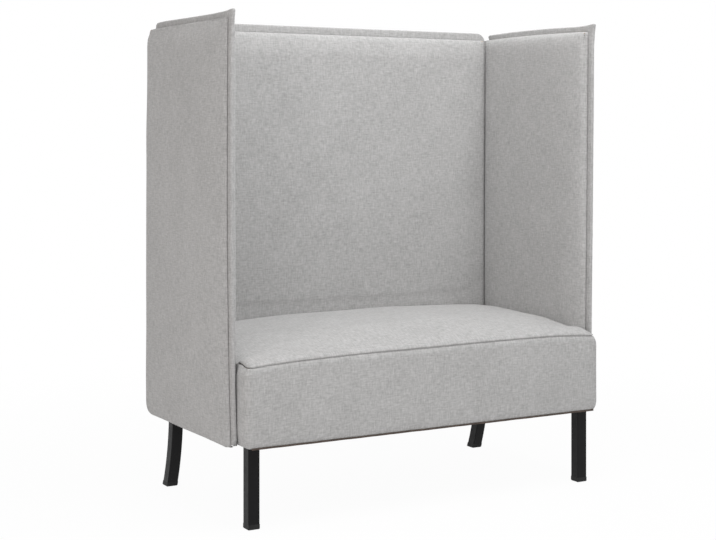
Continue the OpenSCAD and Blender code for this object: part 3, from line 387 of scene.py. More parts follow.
def lean(z, y, side):
    """How far a wing's front stands in at a height; the two wings are sewn a little differently."""
    fall = np.clip((CREASE_Z - z) / (CREASE_Z - UNDERSIDE), 0, 1)
    near = np.clip(1 - (y - CREASE_Y) / (3 * sizes().front_roll), 0, 1)
    if side < 0:
        inward = np.interp(fall, (0, 0.2, 0.43, 0.55, 0.66, 0.78, 0.89, 1), (0, -1.7, -2, -1.6, 0, 1.7, 4.4, 8))
    else:
        inward = np.interp(fall, (0, 0.1, 0.2, 0.31, 0.55, 0.73, 1), (-4.5, -3.8, -3, -1.6, 1.2, 4, 6.5))
    return sizes().wing_lean * inward * near ** 1.5


def hook(z, y):
    """How far the rear end of a wing's top edge leans in towards the back."""
    run = 110 * MM
    behind = np.clip((y - (BACK_FLANGE_Y1 - run)) / run, 0, 1)
    above = np.clip((z - CORE_TOP) / (FLANGE_TOP - CORE_TOP), 0, 1)
    return sizes().top_hook * behind ** 2 * above ** 0.5


def crease_lift(y, side, part):
    """How far a part's top seam bows up from its straight line, or sags on the left."""
    share = np.clip((y - CREASE_Y) / (BACK_FLANGE_Y0 - CREASE_Y), 0, 1)
    if side > 0:
        return sizes().top_bow * np.sin(math.pi * np.clip(share ** 1.2 * 0.85 + 0.02, 0, 1)) ** 0.7
    if part == "flange":
        return -2.6 * MM * np.sin(math.pi * share ** 0.55)
    if part == "inner":
        return np.zeros_like(share)
    return MM * smooth_table(share, (0, 0.08, 0.17, 0.3, 0.43, 0.57, 0.71, 0.86, 1),
                             (0, -2.2, -3.1, -3.1, -2.4, -1.7, -1.4, -1.2, -0.6))


def follow_lift(points, side, part):
    """Moves a wing's covers and flange with its top seam, fading out downwards."""
    share = ease((points[..., 2] - (CREASE_Z - 110 * MM)) / (110 * MM))
    points[..., 2] += crease_lift(points[..., 1], side, part) * share
    points[..., 0] -= hook(points[..., 2], points[..., 1])
    return points


def rear_line(z):
    """Y of the rear covers at a height: rounded over at the top and under at the bottom."""
    top_r, low_r = 38 * MM, 36 * MM
    return COVER_REAR_Y - round_off(z, CREASE_Z, top_r) - round_off(-z, UNDER_T - UNDERSIDE, low_r)


def rear_seat_line(z):
    """Y of the timber that the rear covers lie on at a height."""
    top_r, low_r, draw = 15 * MM, 22 * MM, 1 * MM
    timber = round_off(min(z, CORE_TOP), CORE_TOP, top_r) + round_off(-max(z, UNDERSIDE), -UNDERSIDE, low_r)
    return min(CORE_REAR_Y + SEAM_TURN - timber, rear_line(z) - draw - COVER_T)


# Wings


def level_rows(count, roll, z_low, bottom_roll=0.0, bottom_full=1.0):
    """Heights of a cover's rings with the fullness there, from the bottom up to the top crease."""
    bottom_rows, top_rows = 9, 12
    rows = []
    if bottom_roll:
        for s in shares(bottom_rows):
            rows.append((z_low + bottom_roll * s, bottom_full + (1 - bottom_full) * float(swell(s))))
    start = rows[-1][0] if rows else z_low
    top = CREASE_Z - roll
    for z in np.linspace(start, top, count)[1 if rows else 0:]:
        rows.append((float(z), 1.0))
    for s in shares(top_rows)[::-1][1:]:
        rows.append((CREASE_Z - roll * s, float(swell(s))))
    return rows


def tucked(rings):
    """The rings and one more, where the cover turns down into its top crease."""
    tuck = np.array(rings[-1])
    tuck[:, 2] -= sizes().crease_depth * TUCK_SHARE
    return np.array(rings + [tuck])


def outer_ring(z, full, side):
    """Section of a wing's outer cover at a height, from its front crease round to its rear seam."""
    size = sizes()
    gap, depth = size.crease_gap, size.crease_depth
    above, below = z > CORE_TOP + OVER_CORE, z < UNDERSIDE - 0.1 * MM
    corner_r, rear, inner_rear = 14 * MM, rear_line(z), rear_seat_line(z)
    draw, draw_depth, draw_run = 2.6 * MM, 330 * MM, 150 * MM
    ys = CREASE_Y + size.front_roll * shares(ROLL_POINTS)
    xs = mix(FLANGE_OUT_X + gap, WING_OUT_X, full * swell((ys - CREASE_Y) / size.front_roll))
    face = xs[-1]
    xs = xs - lean(z, ys, side)
    flat_ys = np.linspace(ys[-1], rear - corner_r, 16)[1:-1]
    pull = draw * ease((z - (CORE_TOP - draw_depth)) / draw_run) if side < 0 else 0.0
    flat_xs = face - lean(z, flat_ys, side) - pull * ease((flat_ys - flat_ys[0]) / (rear - flat_ys[0]))
    face = face - pull
    if not above and not below:
        xs[3:] = np.maximum(xs[3:], CORE_OUT_X + COVER_T * min(1.0, full))
        flat_xs = np.maximum(flat_xs, CORE_OUT_X + COVER_T * min(1.0, full))
    seam_x = REAR_SEAM_X + SEAM_TURN
    radius = max(0.5 * MM, min(corner_r, face - seam_x - SEAM_TURN))
    end_y = rear - radius
    ring = [(xs[0], CREASE_Y + depth)]
    ring += list(zip(xs, ys))
    ring += list(zip(flat_xs, np.minimum(flat_ys, end_y - 0.5 * MM * np.arange(len(flat_ys), 0, -1))))
    ring += [(face - radius + radius * math.cos(a), end_y + radius * math.sin(a))
             for a in np.linspace(0, math.pi / 2, 9)]
    turn = min(2 * MM, (rear - inner_rear) / 3)
    ring += [(mix(face - radius, seam_x + turn, s), rear) for s in (0.5, 1.0)]
    ring += [(seam_x + turn * (1 - math.sin(a)), rear - turn * (1 - math.cos(a)))
             for a in np.linspace(0, math.pi / 2, 4)[1:]]
    inside = FLANGE_OUT_X + gap if above else CORE_IN_X if below else CORE_OUT_X
    behind = BACK_FLANGE_Y1 + SEAM_TURN
    ring += [(seam_x, inner_rear - turn), (seam_x if above else inside, behind if above else inner_rear - turn),
             (inside, behind), (inside, CORE_FRONT_Y + (gap if below else -SEAM_TURN)),
             (xs[0], CORE_FRONT_Y - size.crease_gap)]
    return [(x, y, z) for x, y in ring]


def sag_share(y):
    """How far the left outer cover sags off its top seam, as a share of a full sag."""
    return np.clip(-crease_lift(y, -1, "outer") / FULL_SAG, 0, 1)


def clear_core(rings):
    """Keeps the left outer cover outside the core, where its top seam sags."""
    size, skin = sizes(), CORE_OUT_X + COVER_T
    x, y, z = (rings[..., axis] for axis in range(3))
    lip = swell((CREASE_Z + crease_lift(y, -1, "outer") - z) / size.top_roll) * sag_share(y)
    limit = skin + (WING_OUT_X - CORE_OUT_X - COVER_T) * lip
    limit[-1] = skin
    limit = np.where(y < CREASE_Y + size.front_roll, np.minimum(limit, np.maximum(x, skin)), limit)
    sagged = (z < CORE_TOP + 0.8 * MM) & (z > CORE_TOP - 60 * MM) & (x > FLANGE_OUT_X)
    sagged &= (y > CREASE_Y + 1.4 * MM) & (y < CORE_REAR_Y - 15 * MM)
    rings[..., 0] = np.where(sagged, np.maximum(x, limit), x)
    return rings


def outer_rings(side):
    """Rings of a wing's outer cover, hanging a little lower at its front foot."""
    drop, foot_depth, foot_height = 3 * MM, 80 * MM, 25 * MM
    rows = level_rows(120, sizes().top_roll, PAD_LOW_Z, 26 * MM, 0.3)
    rings = follow_lift(tucked([outer_ring(z, full, side) for z, full in rows]), side, "outer")
    if side < 0:
        rings = clear_core(rings)
    near_front = np.clip(1 - (rings[..., 1] - CREASE_Y) / foot_depth, 0, 1)
    near_foot = np.clip((UNDERSIDE + foot_height - rings[..., 2]) / foot_height, 0, 1)
    rings[..., 2] -= drop * near_front * near_foot
    return rings


def wing_relief(points, seed, front_seed, top_seed):
    """Slow waves of a wing's padding, with puckers along its front and top seams."""
    heights = sizes().ripple_height * ripple(points, 0.28, seed)
    heights += puckers(nearness(points[:, 1] - CREASE_Y), points[:, 2], front_seed)
    heights += puckers(nearness(np.clip(below_top(points), 0, None)), points[:, 1], top_seed)
    return heights


class SOFA_OT_outer_covers(bpy.types.Operator):
    """Outer covers of the two wings, from the flange round to the rear seam"""

    bl_idname = "sofa.outer_covers"
    bl_label = "Outer wing covers"

    def execute(self, context):
        for name, side in SIDES:
            rings = mirrored(outer_rings(side), side)
            piece = ring_piece(f"wing_{name}_outer_cover", rings, flip=side < 0)
            points = places(piece)
            x = np.abs(points[:, 0])
            outside = (x > CORE_OUT_X - 8 * MM) & (points[:, 1] > CREASE_Y + 1 * MM)
            push_out(piece, wing_relief(points, 11 + side, 3 + side, 5 + side) * outside * seam_fade(points))
            held = held_edges(outside, points[:, 1] - CREASE_Y, below_top(points),
                              COVER_REAR_Y - points[:, 1], points[:, 2] - PAD_LOW_Z)
            settle(piece, held, sizes().cover_pressure)
            fit(piece, cover_material(), "cover", f"wing_{name}_outer_pad")
        return {"FINISHED"}


def rear_bulge(z, y):
    """How far a wing's inner cover presses in beside the back, more towards the seat."""
    fall = np.clip((CREASE_Z - z) / (CREASE_Z - UNDERSIDE), 0, 1)
    deep = smooth_table(fall, (0, 0.17, 0.32, 0.47, 0.75, 1), (0, 3, 4.8, 7, 7.5, 6))
    end = BACK_FLANGE_Y0 - 0.8 * MM
    return MM * deep * ease((y - (end - 210 * MM)) / (170 * MM)) * np.sqrt(np.clip((end - y) / (6 * MM), 0, 1))


def inner_ring(z, side, low_part):
    """Section of a wing's inner cover at a height, from its front crease back to the back."""
    size = sizes()
    gap, depth, seat_gap = size.crease_gap, size.crease_depth, 0.3 * MM
    above = z > CORE_TOP + OVER_CORE
    rear = BOARD_REAR_Y - seat_gap if low_part else PAD_REAR_Y
    run = rear - CREASE_Y if low_part else size.front_roll
    ys = CREASE_Y + run * shares(ROLL_POINTS)
    close = BACK_FLANGE_Y0 - MM * np.array([9, 7.5, 6, 4.6, 3.4, 2.4, 1.6, 1.1, 0.8])
    rear_ys = np.concatenate([np.linspace(ys[-1], close[0], 12)[1:-1], close, [rear]])
    if low_part:
        rear_ys = ys[-1] + seat_gap * np.linspace(0.1, 1, len(rear_ys))
    ys = np.concatenate([ys, rear_ys])
    roll = mix(size.top_roll, 26 * MM, ease((ys - (PAD_REAR_Y - 150 * MM)) / (140 * MM)))
    full = swell((CREASE_Z - z) / roll)
    xs = mix(FLANGE_IN_X - gap, WING_FACE_X, full * swell((ys - CREASE_Y) / size.front_roll))
    if low_part:
        xs = np.maximum(xs, SEAT_X + seat_gap)
    else:
        xs = xs - rear_bulge(z, ys)
    if not above:
        xs[3:] = np.minimum(xs[3:], CORE_IN_X - COVER_T)
    xs = xs - lean(z, ys, side) * np.clip(1 - (ys - CREASE_Y) / (10 * MM), 0, 1)
    if low_part:
        xs = np.maximum(xs, SEAT_X + seat_gap)
    ring = [(xs[0], CREASE_Y + depth)]
    ring += list(zip(xs, ys))
    inside = FLANGE_IN_X - gap if above else CORE_IN_X
    end = ring[-1][1]
    ring += [(inside, end), (inside, CORE_FRONT_Y - seat_gap), (xs[0], CORE_FRONT_Y - gap)]
    return [(x, y, z) for x, y in ring]


def inner_rings(side):
    """Rings of a wing's inner cover: beside the seat's board, and then above it."""
    board_top, step = high("wing_right_fixing_board").z, 0.3 * MM
    rings = [inner_ring(z, side, True) for z in np.linspace(PAD_LOW_Z, board_top, 14)]
    rings += [inner_ring(z, side, False) for z, _ in level_rows(110, sizes().top_roll, board_top + step)]
    return follow_lift(tucked(rings), side, "inner")


class SOFA_OT_inner_covers(bpy.types.Operator):
    """Inner covers of the two wings, facing the seat"""

    bl_idname = "sofa.inner_covers"
    bl_label = "Inner wing covers"

    def execute(self, context):
        for name, side in SIDES:
            rings = mirrored(inner_rings(side), side)
            piece = ring_piece(f"wing_{name}_inner_cover", rings, flip=side > 0)
            points = places(piece)
            x = np.abs(points[:, 0])
            outside = (x < CORE_IN_X - 2 * MM) & (points[:, 1] < PAD_REAR_Y - 5 * MM)
            push_out(piece, wing_relief(points, 21 + side, 23 + side, 25 + side) * outside * seam_fade(points))
            held = held_edges(outside, points[:, 1] - CREASE_Y, below_top(points),
                              BACK_FLANGE_Y0 - points[:, 1], points[:, 2] - CROWN_Z)
            settle(piece, held, sizes().cover_pressure)
            fit(piece, cover_material(), "cover", f"wing_{name}_inner_pad")
        return {"FINISHED"}


def flange_rings(outer, inner, half, centre, across):
    """Rings of a sewn flange: a flat fin between two lines, with a rounded outer edge.

    outer and inner are matching points in the fin's plane; across puts a plane point
    and a place through the thickness into space."""
    size = sizes()
    bend = size.flange_round
    section = [(0.0, -1.0), (0.25, -1.0), (0.5, -1.0)]
    section += [(1.0, math.sin(a)) for a in np.linspace(-math.pi / 2, math.pi / 2, 15)]
    section += [(0.5, 1.0), (0.25, 1.0), (0.0, 1.0), (0.0, 0.6), (0.0, 0.2), (0.0, -0.3)]
    rings = []
    for o, i in zip(np.asarray(outer, float), np.asarray(inner, float)):
        span = np.linalg.norm(o - i)
        way = (o - i) / span
        ring = []
        for share, through in section:
            reach = (span - bend) * share
            if share == 1.0:
                reach = span - bend * (1 - math.sqrt(max(0.0, 1 - abs(through) ** 2.6)))
            ring.append(across(i + way * reach, centre + half * through))
        rings.append(ring)
    return rings


def wing_flange_lines(side):
    """Outer edge and inner line of a wing's flange, in Y and Z, from its foot round to its rear end."""
    node = "wing_right_flange"
    front, rear = low(node).y, high(node).y
    foot, radius, extra = (low(node).z + 3 * MM, 24 * MM, 0.0) if side < 0 else (low(node).z, 14 * MM, 3 * MM)
    peak, reach, run = high(node).z - FLANGE_TOP + extra, CREASE_Y - 17 * MM - front, 90 * MM
    edge_y, dip, tip_r, end_r = front + reach, 1.5 * MM, 4.5 * MM, 3 * MM
    top = FLANGE_TOP + peak
    outer, inner = [], []
    start = math.pi + math.acos(max(0.0, 1 - 12.4 * MM / radius))
    for a in np.linspace(start, math.pi, 10)[:-1]:
        outer.append((edge_y + radius + radius * math.cos(a), foot + radius + radius * math.sin(a)))
        inner.append((CORE_FRONT_Y, foot + 1.5 * MM + radius * 0.3 * len(inner) / 10))
    for z in np.linspace(foot + radius, top - tip_r, 190):
        away = max(0.0, 1 - (top - z) / run)
        outer.append((edge_y - reach * away ** 2, z))
        inner.append((CORE_FRONT_Y, min(z, CORE_TOP)))
    tip_y = outer[-1][0]
    for a in np.linspace(0, math.pi / 2, 6)[1:]:
        outer.append((tip_y + tip_r * (1 - math.cos(a)), top - tip_r * (1 - math.sin(a))))
        inner.append((CORE_FRONT_Y, CORE_TOP))
    for y in np.linspace(tip_y + tip_r, rear, 110)[1:]:
        away = max(0.0, 1 - (y - (tip_y + tip_r)) / run)
        end = max(0.0, 1 - (rear - y) / run)
        close = max(0.0, 1 - (rear - y) / end_r)
        outer.append((y, FLANGE_TOP + peak * away ** 2 - dip * end ** 2
                      - end_r * (1 - math.sqrt(1 - 0.96 * close * close))))
        inner.append((max(y, CORE_FRONT_Y), CORE_TOP))
    return np.array(outer), np.array(inner)


def fold_over_core(rings, on_top):
    """Lays a flange's root over the core's top corner, where the outer cover sags off it."""
    lower = rings[on_top]
    lower[:, 0, 2] = CORE_TOP + 0.2 * MM
    lower[:, -5, 2] = mix(CORE_TOP + 0.8 * MM, lower[:, -5, 2], sag_share(lower[:, -4, 1]))
    lower[:, -4:, 0] = CORE_OUT_X + MM * np.array([0.5, 0.5, 0.15, 0.15])
    lower[:, -4:, 2] = CORE_TOP + MM * np.array([0.4, -10, -10, 0.2])
    rings[on_top] = lower
    return rings


class SOFA_OT_wing_flanges(bpy.types.Operator):
    """Sewn flanges up the wings' front edges and back along their tops"""

    bl_idname = "sofa.wing_flanges"
    bl_label = "Wing flanges"

    def execute(self, context):
        size = sizes()
        half = (FLANGE_OUT_X - FLANGE_IN_X) / 2
        centre = (FLANGE_OUT_X + FLANGE_IN_X) / 2
        for name, side in SIDES:
            outer, inner = wing_flange_lines(side)
            rings = flange_rings(outer, inner, half, centre, lambda p, x: (x, p[0], p[1]))
            rings = np.array(rings)
            rings[..., 0] -= lean(rings[..., 2], rings[..., 1], side)
            rings = follow_lift(rings, side, "flange")
            if side < 0:
                stand = np.clip((rings[..., 2] - CORE_TOP) / (FLANGE_TOP - CORE_TOP), 0, 1)
                rings[..., 0] += 4 * MM * stand * ease((rings[..., 1] - CREASE_Y) / (60 * MM))
                rings = fold_over_core(rings, inner[:, 0] > CORE_FRONT_Y + 0.1 * MM)
            piece = ring_piece(f"wing_{name}_flange_cover", mirrored(rings, side), flip=side < 0)
            points = places(piece)
            heights = size.pucker_height * wave(points[:, 2] - points[:, 1], size.pucker_pitch * 1.6, 31 + side)
            push_out(piece, heights * 0.6)
            fit(piece, painted_shade_flange_material(), "cover_edge", f"wing_{name}_flange")
        return {"FINISHED"}


# Back


def back_front_ring(z, full):
    """Section of the back's front cover at a height."""
    size = sizes()
    crown = 8 * MM
    above = z > CORE_TOP + OVER_CORE
    rear = BACK_FLANGE_Y0 - size.crease_gap
    inner = low("back_webbing").y
    half = BACK_EDGE_X - size.side_roll * shares(16)[1:]
    flat = np.linspace(half[-1], 0, 28)[1:]
    right = np.concatenate([half, flat])
    thick = BACK_CORE_Y - BACK_FACE_Y - crown * (right / BACK_EDGE_X) ** 2
    fullness = full * swell((BACK_EDGE_X - right) / size.side_roll)
    faces = mix(rear, BACK_CORE_Y - thick, fullness)
    if not above:
        faces = np.minimum(faces, np.where(right < BACK_CORE_X, inner - 1.2 * MM, faces))
    ring = [(BACK_EDGE_X, rear + size.crease_depth * 0.3), (BACK_EDGE_X, rear)]
    ring += list(zip(right, faces))
    ring += [(-x, y) for x, y in ring[-2::-1]]
    in_x = BACK_CORE_X + 0.3 * MM
    inside = (in_x - 3 * MM, rear + size.crease_depth * 0.3) if above else (in_x, inner)
    back_line = [(-in_x, rear + size.crease_depth * 0.3), (-inside[0], inside[1]),
                 (inside[0], inside[1]), (in_x, rear + size.crease_depth * 0.3)]
    return [(x, y, z) for x, y in ring + back_line]


class SOFA_OT_back_front(bpy.types.Operator):
    """Front cover of the back, above the seat"""

    bl_idname = "sofa.back_front"
    bl_label = "Back's front cover"

    def execute(self, context):
        size = sizes()
        top_reach, side_reach = 14 * MM, 10 * MM
        rings = [back_front_ring(z, full) for z, full in level_rows(110, size.top_roll, BACK_LOW_Z)]
        piece = ring_piece("back_front_cover", tucked(rings), flip=True)
        points = places(piece)
        outside = points[:, 1] < BACK_CORE_Y - 2 * MM
        from_side = BACK_EDGE_X - np.abs(points[:, 0])
        heights = size.ripple_height * 1.4 * ripple(points, 0.33, 41)
        heights += puckers(nearness(np.clip(below_top(points), 0, None), top_reach), points[:, 0], 43)
        heights += puckers(nearness(from_side, side_reach), points[:, 2], 44)
        push_out(piece, heights * outside * seam_fade(points))
        settle(piece, held_edges(outside, from_side, below_top(points), points[:, 2] - CROWN_Z),
               size.cover_pressure)
        fit(piece, cover_material(), "cover", "back_front_pad")
        return {"FINISHED"}


class SOFA_OT_back_flange(bpy.types.Operator):
    """Sewn flange up both sides of the back and over its rounded top corners"""

    bl_idname = "sofa.back_flange"
    bl_label = "Back's flange"

    def execute(self, context):
        radius, inner_radius = 30 * MM, 18 * MM
        top = FLANGE_TOP + sizes().back_rise
        outer, inner = [], []
        for z in np.linspace(UNDERSIDE, top - radius, 100):
            outer.append((BACK_X, z))
            inner.append((BACK_CORE_X, min(z, CORE_TOP - inner_radius * 0.02)))
        for a in np.linspace(0, math.pi / 2, 14)[1:]:
            outer.append((BACK_X - radius * (1 - math.cos(a)), top - radius * (1 - math.sin(a))))
            share = a / (math.pi / 2)
            inner.append((BACK_CORE_X - (radius - BACK_X + BACK_CORE_X) * share,
                          mix(top - radius, CORE_TOP, share)))
        for x in np.linspace(BACK_X - radius, 0, 70)[1:]:
            outer.append((x, top))
            inner.append((x, CORE_TOP))
        outer += [(-x, z) for x, z in outer[-2::-1]]
        inner += [(-x, z) for x, z in inner[-2::-1]]
        half = (BACK_FLANGE_Y1 - BACK_FLANGE_Y0) / 2
        centre = (BACK_FLANGE_Y1 + BACK_FLANGE_Y0) / 2
        rings = flange_rings(outer, inner, half, centre, lambda p, y: (p[0], y, p[1]))
        piece = ring_piece("back_flange_cover", rings, flip=True)
        points = places(piece)
        push_out(piece, sizes().pucker_height * 0.5 * wave(points[:, 0] - points[:, 2], 34 * MM, 51))
        fit(piece, painted_shade_flange_material(), "cover_edge", "back_flange")
        return {"FINISHED"}


class SOFA_OT_back_rear(bpy.types.Operator):
    """Rear cover of the back, between the seams of the wings' outer covers"""

    bl_idname = "sofa.back_rear"
    bl_label = "Back's rear cover"

    def execute(self, context):
        size = sizes()
        rings = []
        for z, _ in level_rows(90, size.top_roll, PAD_LOW_Z, 38 * MM, 1.0):
            above = z > CORE_TOP + OVER_CORE
            rear = rear_line(z)
            inner = BACK_FLANGE_Y1 + size.crease_gap if above else rear_seat_line(z)
            turn = min(2 * MM, (rear - inner) / 3)
            edge = REAR_SEAM_X - SEAM_TURN
            ring = [(edge, inner), (edge, rear - turn)]
            ring += [(edge - turn * (1 - math.cos(a)), rear - turn * (1 - math.sin(a)))
                     for a in np.linspace(0, math.pi / 2, 4)[1:]]
            ring += [(x, rear) for x in np.linspace(edge - turn, 0, 40)[1:]]
            ring += [(-x, y) for x, y in ring[-2::-1]]
            rings.append([(x, y, z) for x, y in ring])
        piece = ring_piece("back_rear_cover", tucked(rings))
        points = places(piece)
        side_reach, end_run, drawn_in = 10 * MM, 40 * MM, 0.2 * MM
        outside = points[:, 1] > CORE_REAR_Y + 8 * MM
        from_side, from_foot = REAR_SEAM_X - np.abs(points[:, 0]), points[:, 2] - UNDERSIDE
        heights = size.ripple_height * ripple(points, 0.33, 61)
        heights += puckers(nearness(from_side, side_reach), points[:, 2], 63)
        fade = ease(below_top(points) / end_run) * ease(from_foot / end_run)
        push_out(piece, heights * outside * fade - drawn_in * outside)
        settle(piece, held_edges(outside, from_side, below_top(points), from_foot),
               size.cover_pressure, cap=1 * MM)
        fit(piece, cover_material(), "cover", "back_rear_pad")
        return {"FINISHED"}


# Seat


def seat_tilt(x):
    """How far the seat's seam and top stand off level across its width, as sewn."""
    stops = (-1, -0.95, -0.9, -0.8, -0.63, -0.47, -0.3, 0, 0.2, 0.39, 0.57, 0.76, 1)
    rises = (-5.2, -5.4, -5.0, -4.9, -4.8, -3.8, -2.4, -1.9, -0.4, 0.4, 1.6, 3.6, 3.8)
    return MM * np.interp(np.asarray(x) / SEAT_X, stops, rises)


def seam_height(x, y=SEAT_FRONT_Y):
    """Height of the seat's seam: it bows up in the middle and climbs along the short returns."""
    drop, climb, climb_start, climb_run = 12 * MM, 5 * MM, 22 * MM, 28 * MM
    level = SEAM_Z + 1 * MM - drop * np.minimum(1, np.abs(x) / SEAT_X) ** 4 + seat_tilt(x)
    return level + climb * ease((np.asarray(y) - SEAT_FRONT_Y - climb_start) / climb_run)


def seat_half_width(y):
    """Half the seat top's width at a depth: round front corners, then the wings' padding, then the rear."""
    size = sizes()
    rear_r, gap = 12 * MM, 0.3 * MM
    in_corner = np.clip(SEAT_FRONT_Y + CORNER_R - y, 0, CORNER_R)
    half = SEAT_X - (CORNER_R - np.sqrt(CORNER_R * CORNER_R - in_corner ** 2))
    wing = mix(FLANGE_IN_X, WING_FACE_X, swell((y - CREASE_Y) / size.front_roll)) - gap
    wing = wing - rear_bulge(CROWN_Z - 30 * MM, y)
    half = np.where(y > CREASE_Y, np.minimum(half, wing), half)
    in_rear = np.clip(y - (SEAT_REAR_Y - rear_r), 0, rear_r)
    return half - (rear_r - np.sqrt(rear_r * rear_r - in_rear ** 2))


def side_sink(y):
    """How far the seat sinks beside the wings, along its depth."""
    depths = (-301, -275, -250, -221, -188, -140, -92, -41, 8, 60, 124, 227)
    sinks = (0, 8, 18, 27, 25.5, 22, 17, 15.5, 14.8, 12, 9.5, 10.5)
    return MM * np.interp(y, np.array(depths) * MM, sinks)


def seat_height(x, y):
    """Height of the seat's top: it climbs from the seam, swells to the crown and falls to the wings."""
    front_run, side_run, rear_run = 110 * MM, 70 * MM, 16 * MM
    side_fall, rear_fall, dip_front, dip_rear, end_dip = 27 * MM, 7 * MM, 12 * MM, 8 * MM, 8 * MM
    sink_start, sink_run, corner_run = 80 * MM, 320 * MM, 45 * MM
    mid_y, half_d = (SEAT_FRONT_Y + SEAT_REAR_Y) / 2, (SEAT_REAR_Y - SEAT_FRONT_Y) / 2
    v = (y - mid_y) / half_d
    from_side = seat_half_width(y) - np.abs(x)
    crown = CROWN_Z + seat_tilt(x) - np.where(v < 0, dip_front, dip_rear) * v * v
    crown = crown - end_dip * (np.abs(x) / SEAT_X) ** 4
    crown = crown - side_sink(y) * (1 - ease((SEAT_X - np.abs(x) - sink_start) / sink_run))
    open_side = ease((CREASE_Y + 4 * MM - y) / (12 * MM))
    corner = 1 - open_side * (1 - swell(from_side / corner_run, 1.6))
    climb = swell((y - SEAT_FRONT_Y) / front_run, 1.35) * corner
    side = swell((SEAT_X - np.abs(x)) / side_run, 1.5)
    rear = swell((SEAT_REAR_Y - y) / rear_run)
    low_edge = seam_height(x, y)
    height = low_edge + (crown - low_edge) * climb
    return height - side_fall * climb * (1 - side) * (1 - open_side) - rear_fall * (1 - rear)


def seat_grid():
    """Grid of the seat's top in X and Y, closer together along its edges."""
    side_band, front_band, rear_band = 0.16, 0.2, 0.05
    close, close_rear = shares(20, 1.6), shares(8, 1.6)
    across = np.concatenate([-1 + side_band * close, np.linspace(side_band - 1, 1 - side_band, 91)[1:-1],
                             1 - side_band * close[::-1]])
    depth = np.concatenate([front_band * close, np.linspace(front_band, 1 - rear_band, 46)[1:-1],
                            1 - rear_band * close_rear[::-1]])
    ys = mix(SEAT_FRONT_Y, SEAT_REAR_Y, depth)
    x = across[None, :] * seat_half_width(ys)[:, None]
    y = np.repeat(ys[:, None], len(across), axis=1)
    return x, y


class SOFA_OT_seat_top(bpy.types.Operator):
    """Crowned top of the seat, settled as cloth over its filling"""

    bl_idname = "sofa.seat_top"
    bl_label = "Seat top"

    def execute(self, context):
        size = sizes()
        x, y = seat_grid()
        rows, columns = x.shape
        draw, tuck_low, groove, lift = 3.5 * MM, 4 * MM, 5 * MM, 0.8 * MM
        edge_front = np.clip(1 - (y - CREASE_Y) / (10 * MM), 0, 1)
        mid_y = (SEAT_FRONT_Y + SEAT_REAR_Y) / 2
        z = seat_height(x, y) + lift
        away = np.minimum(y - SEAT_FRONT_Y, (seat_half_width(y) - np.abs(x)))
        pull = draw * np.exp(-away / (5 * MM)) * edge_front
        x = x * (1 - pull / SEAT_X)
        y = y + pull * np.clip((mid_y - y) / (mid_y - SEAT_FRONT_Y), 0, 1)
        top = np.stack([x, y, z], axis=2)
        inset_x, inset_y = x * (1 - 3 * draw / SEAT_X), mix(y, mid_y, 0.05)
        base = np.stack([inset_x, inset_y, np.full_like(x, FOAM_TOP + 0.3 * MM)], axis=2)
        lip = top.copy()
        lip[..., 2] = np.maximum(lip[..., 2] - tuck_low, FOAM_TOP + 1 * MM)
        lip[..., 0] *= 1 - groove / SEAT_X
        lip[..., 1] = mix(lip[..., 1], mid_y, groove / (mid_y - SEAT_FRONT_Y))
        edge = [(0, c) for c in range(columns)] + [(r, columns - 1) for r in range(1, rows)]
        edge += [(rows - 1, c) for c in range(columns - 2, -1, -1)] + [(r, 0) for r in range(rows - 2, 0, -1)]
        points = np.vstack([top.reshape(-1, 3), base.reshape(-1, 3), [lip[r, c] for r, c in edge]])
        count, below, around = rows * columns, rows * columns, 2 * rows * columns
        faces = []
        for r in range(rows - 1):
            for c in range(columns - 1):
                a = r * columns + c
                b, d, e = a + 1, a + columns + 1, a + columns
                faces.append([a, b, d, e])
                faces.append([below + e, below + d, below + b, below + a])
        for k in range(len(edge)):
            m = (k + 1) % len(edge)
            a, b = (edge[j][0] * columns + edge[j][1] for j in (k, m))
            faces.append([b, a, around + k, around + m])
            faces.append([around + m, around + k, below + a, below + b])
        threads = [(points[v, 0], points[v, 1]) for face in faces for v in face]
        piece = mesh_piece("seat_top_cover", points, faces, threads)
        now = places(piece)
        top_mask = np.arange(len(now)) < count
        near_seam = nearness(np.clip(now[:, 1] - SEAT_FRONT_Y, 0, None))
        heights = size.ripple_height * 1.5 * ripple(now, 0.24, 71) * (1 - near_seam)
        heights += puckers(near_seam, now[:, 0], 73)
        push_out(piece, heights * top_mask)
        held = held_edges(top_mask, now[:, 1] - SEAT_FRONT_Y, SEAT_REAR_Y - now[:, 1],
                          seat_half_width(now[:, 1]) - np.abs(now[:, 0]))
        settle(piece, held, size.seat_pressure, 2 * MM, 4 * MM)
        fit(piece, cover_material(), "cover", "seat_top")
        return {"FINISHED"}


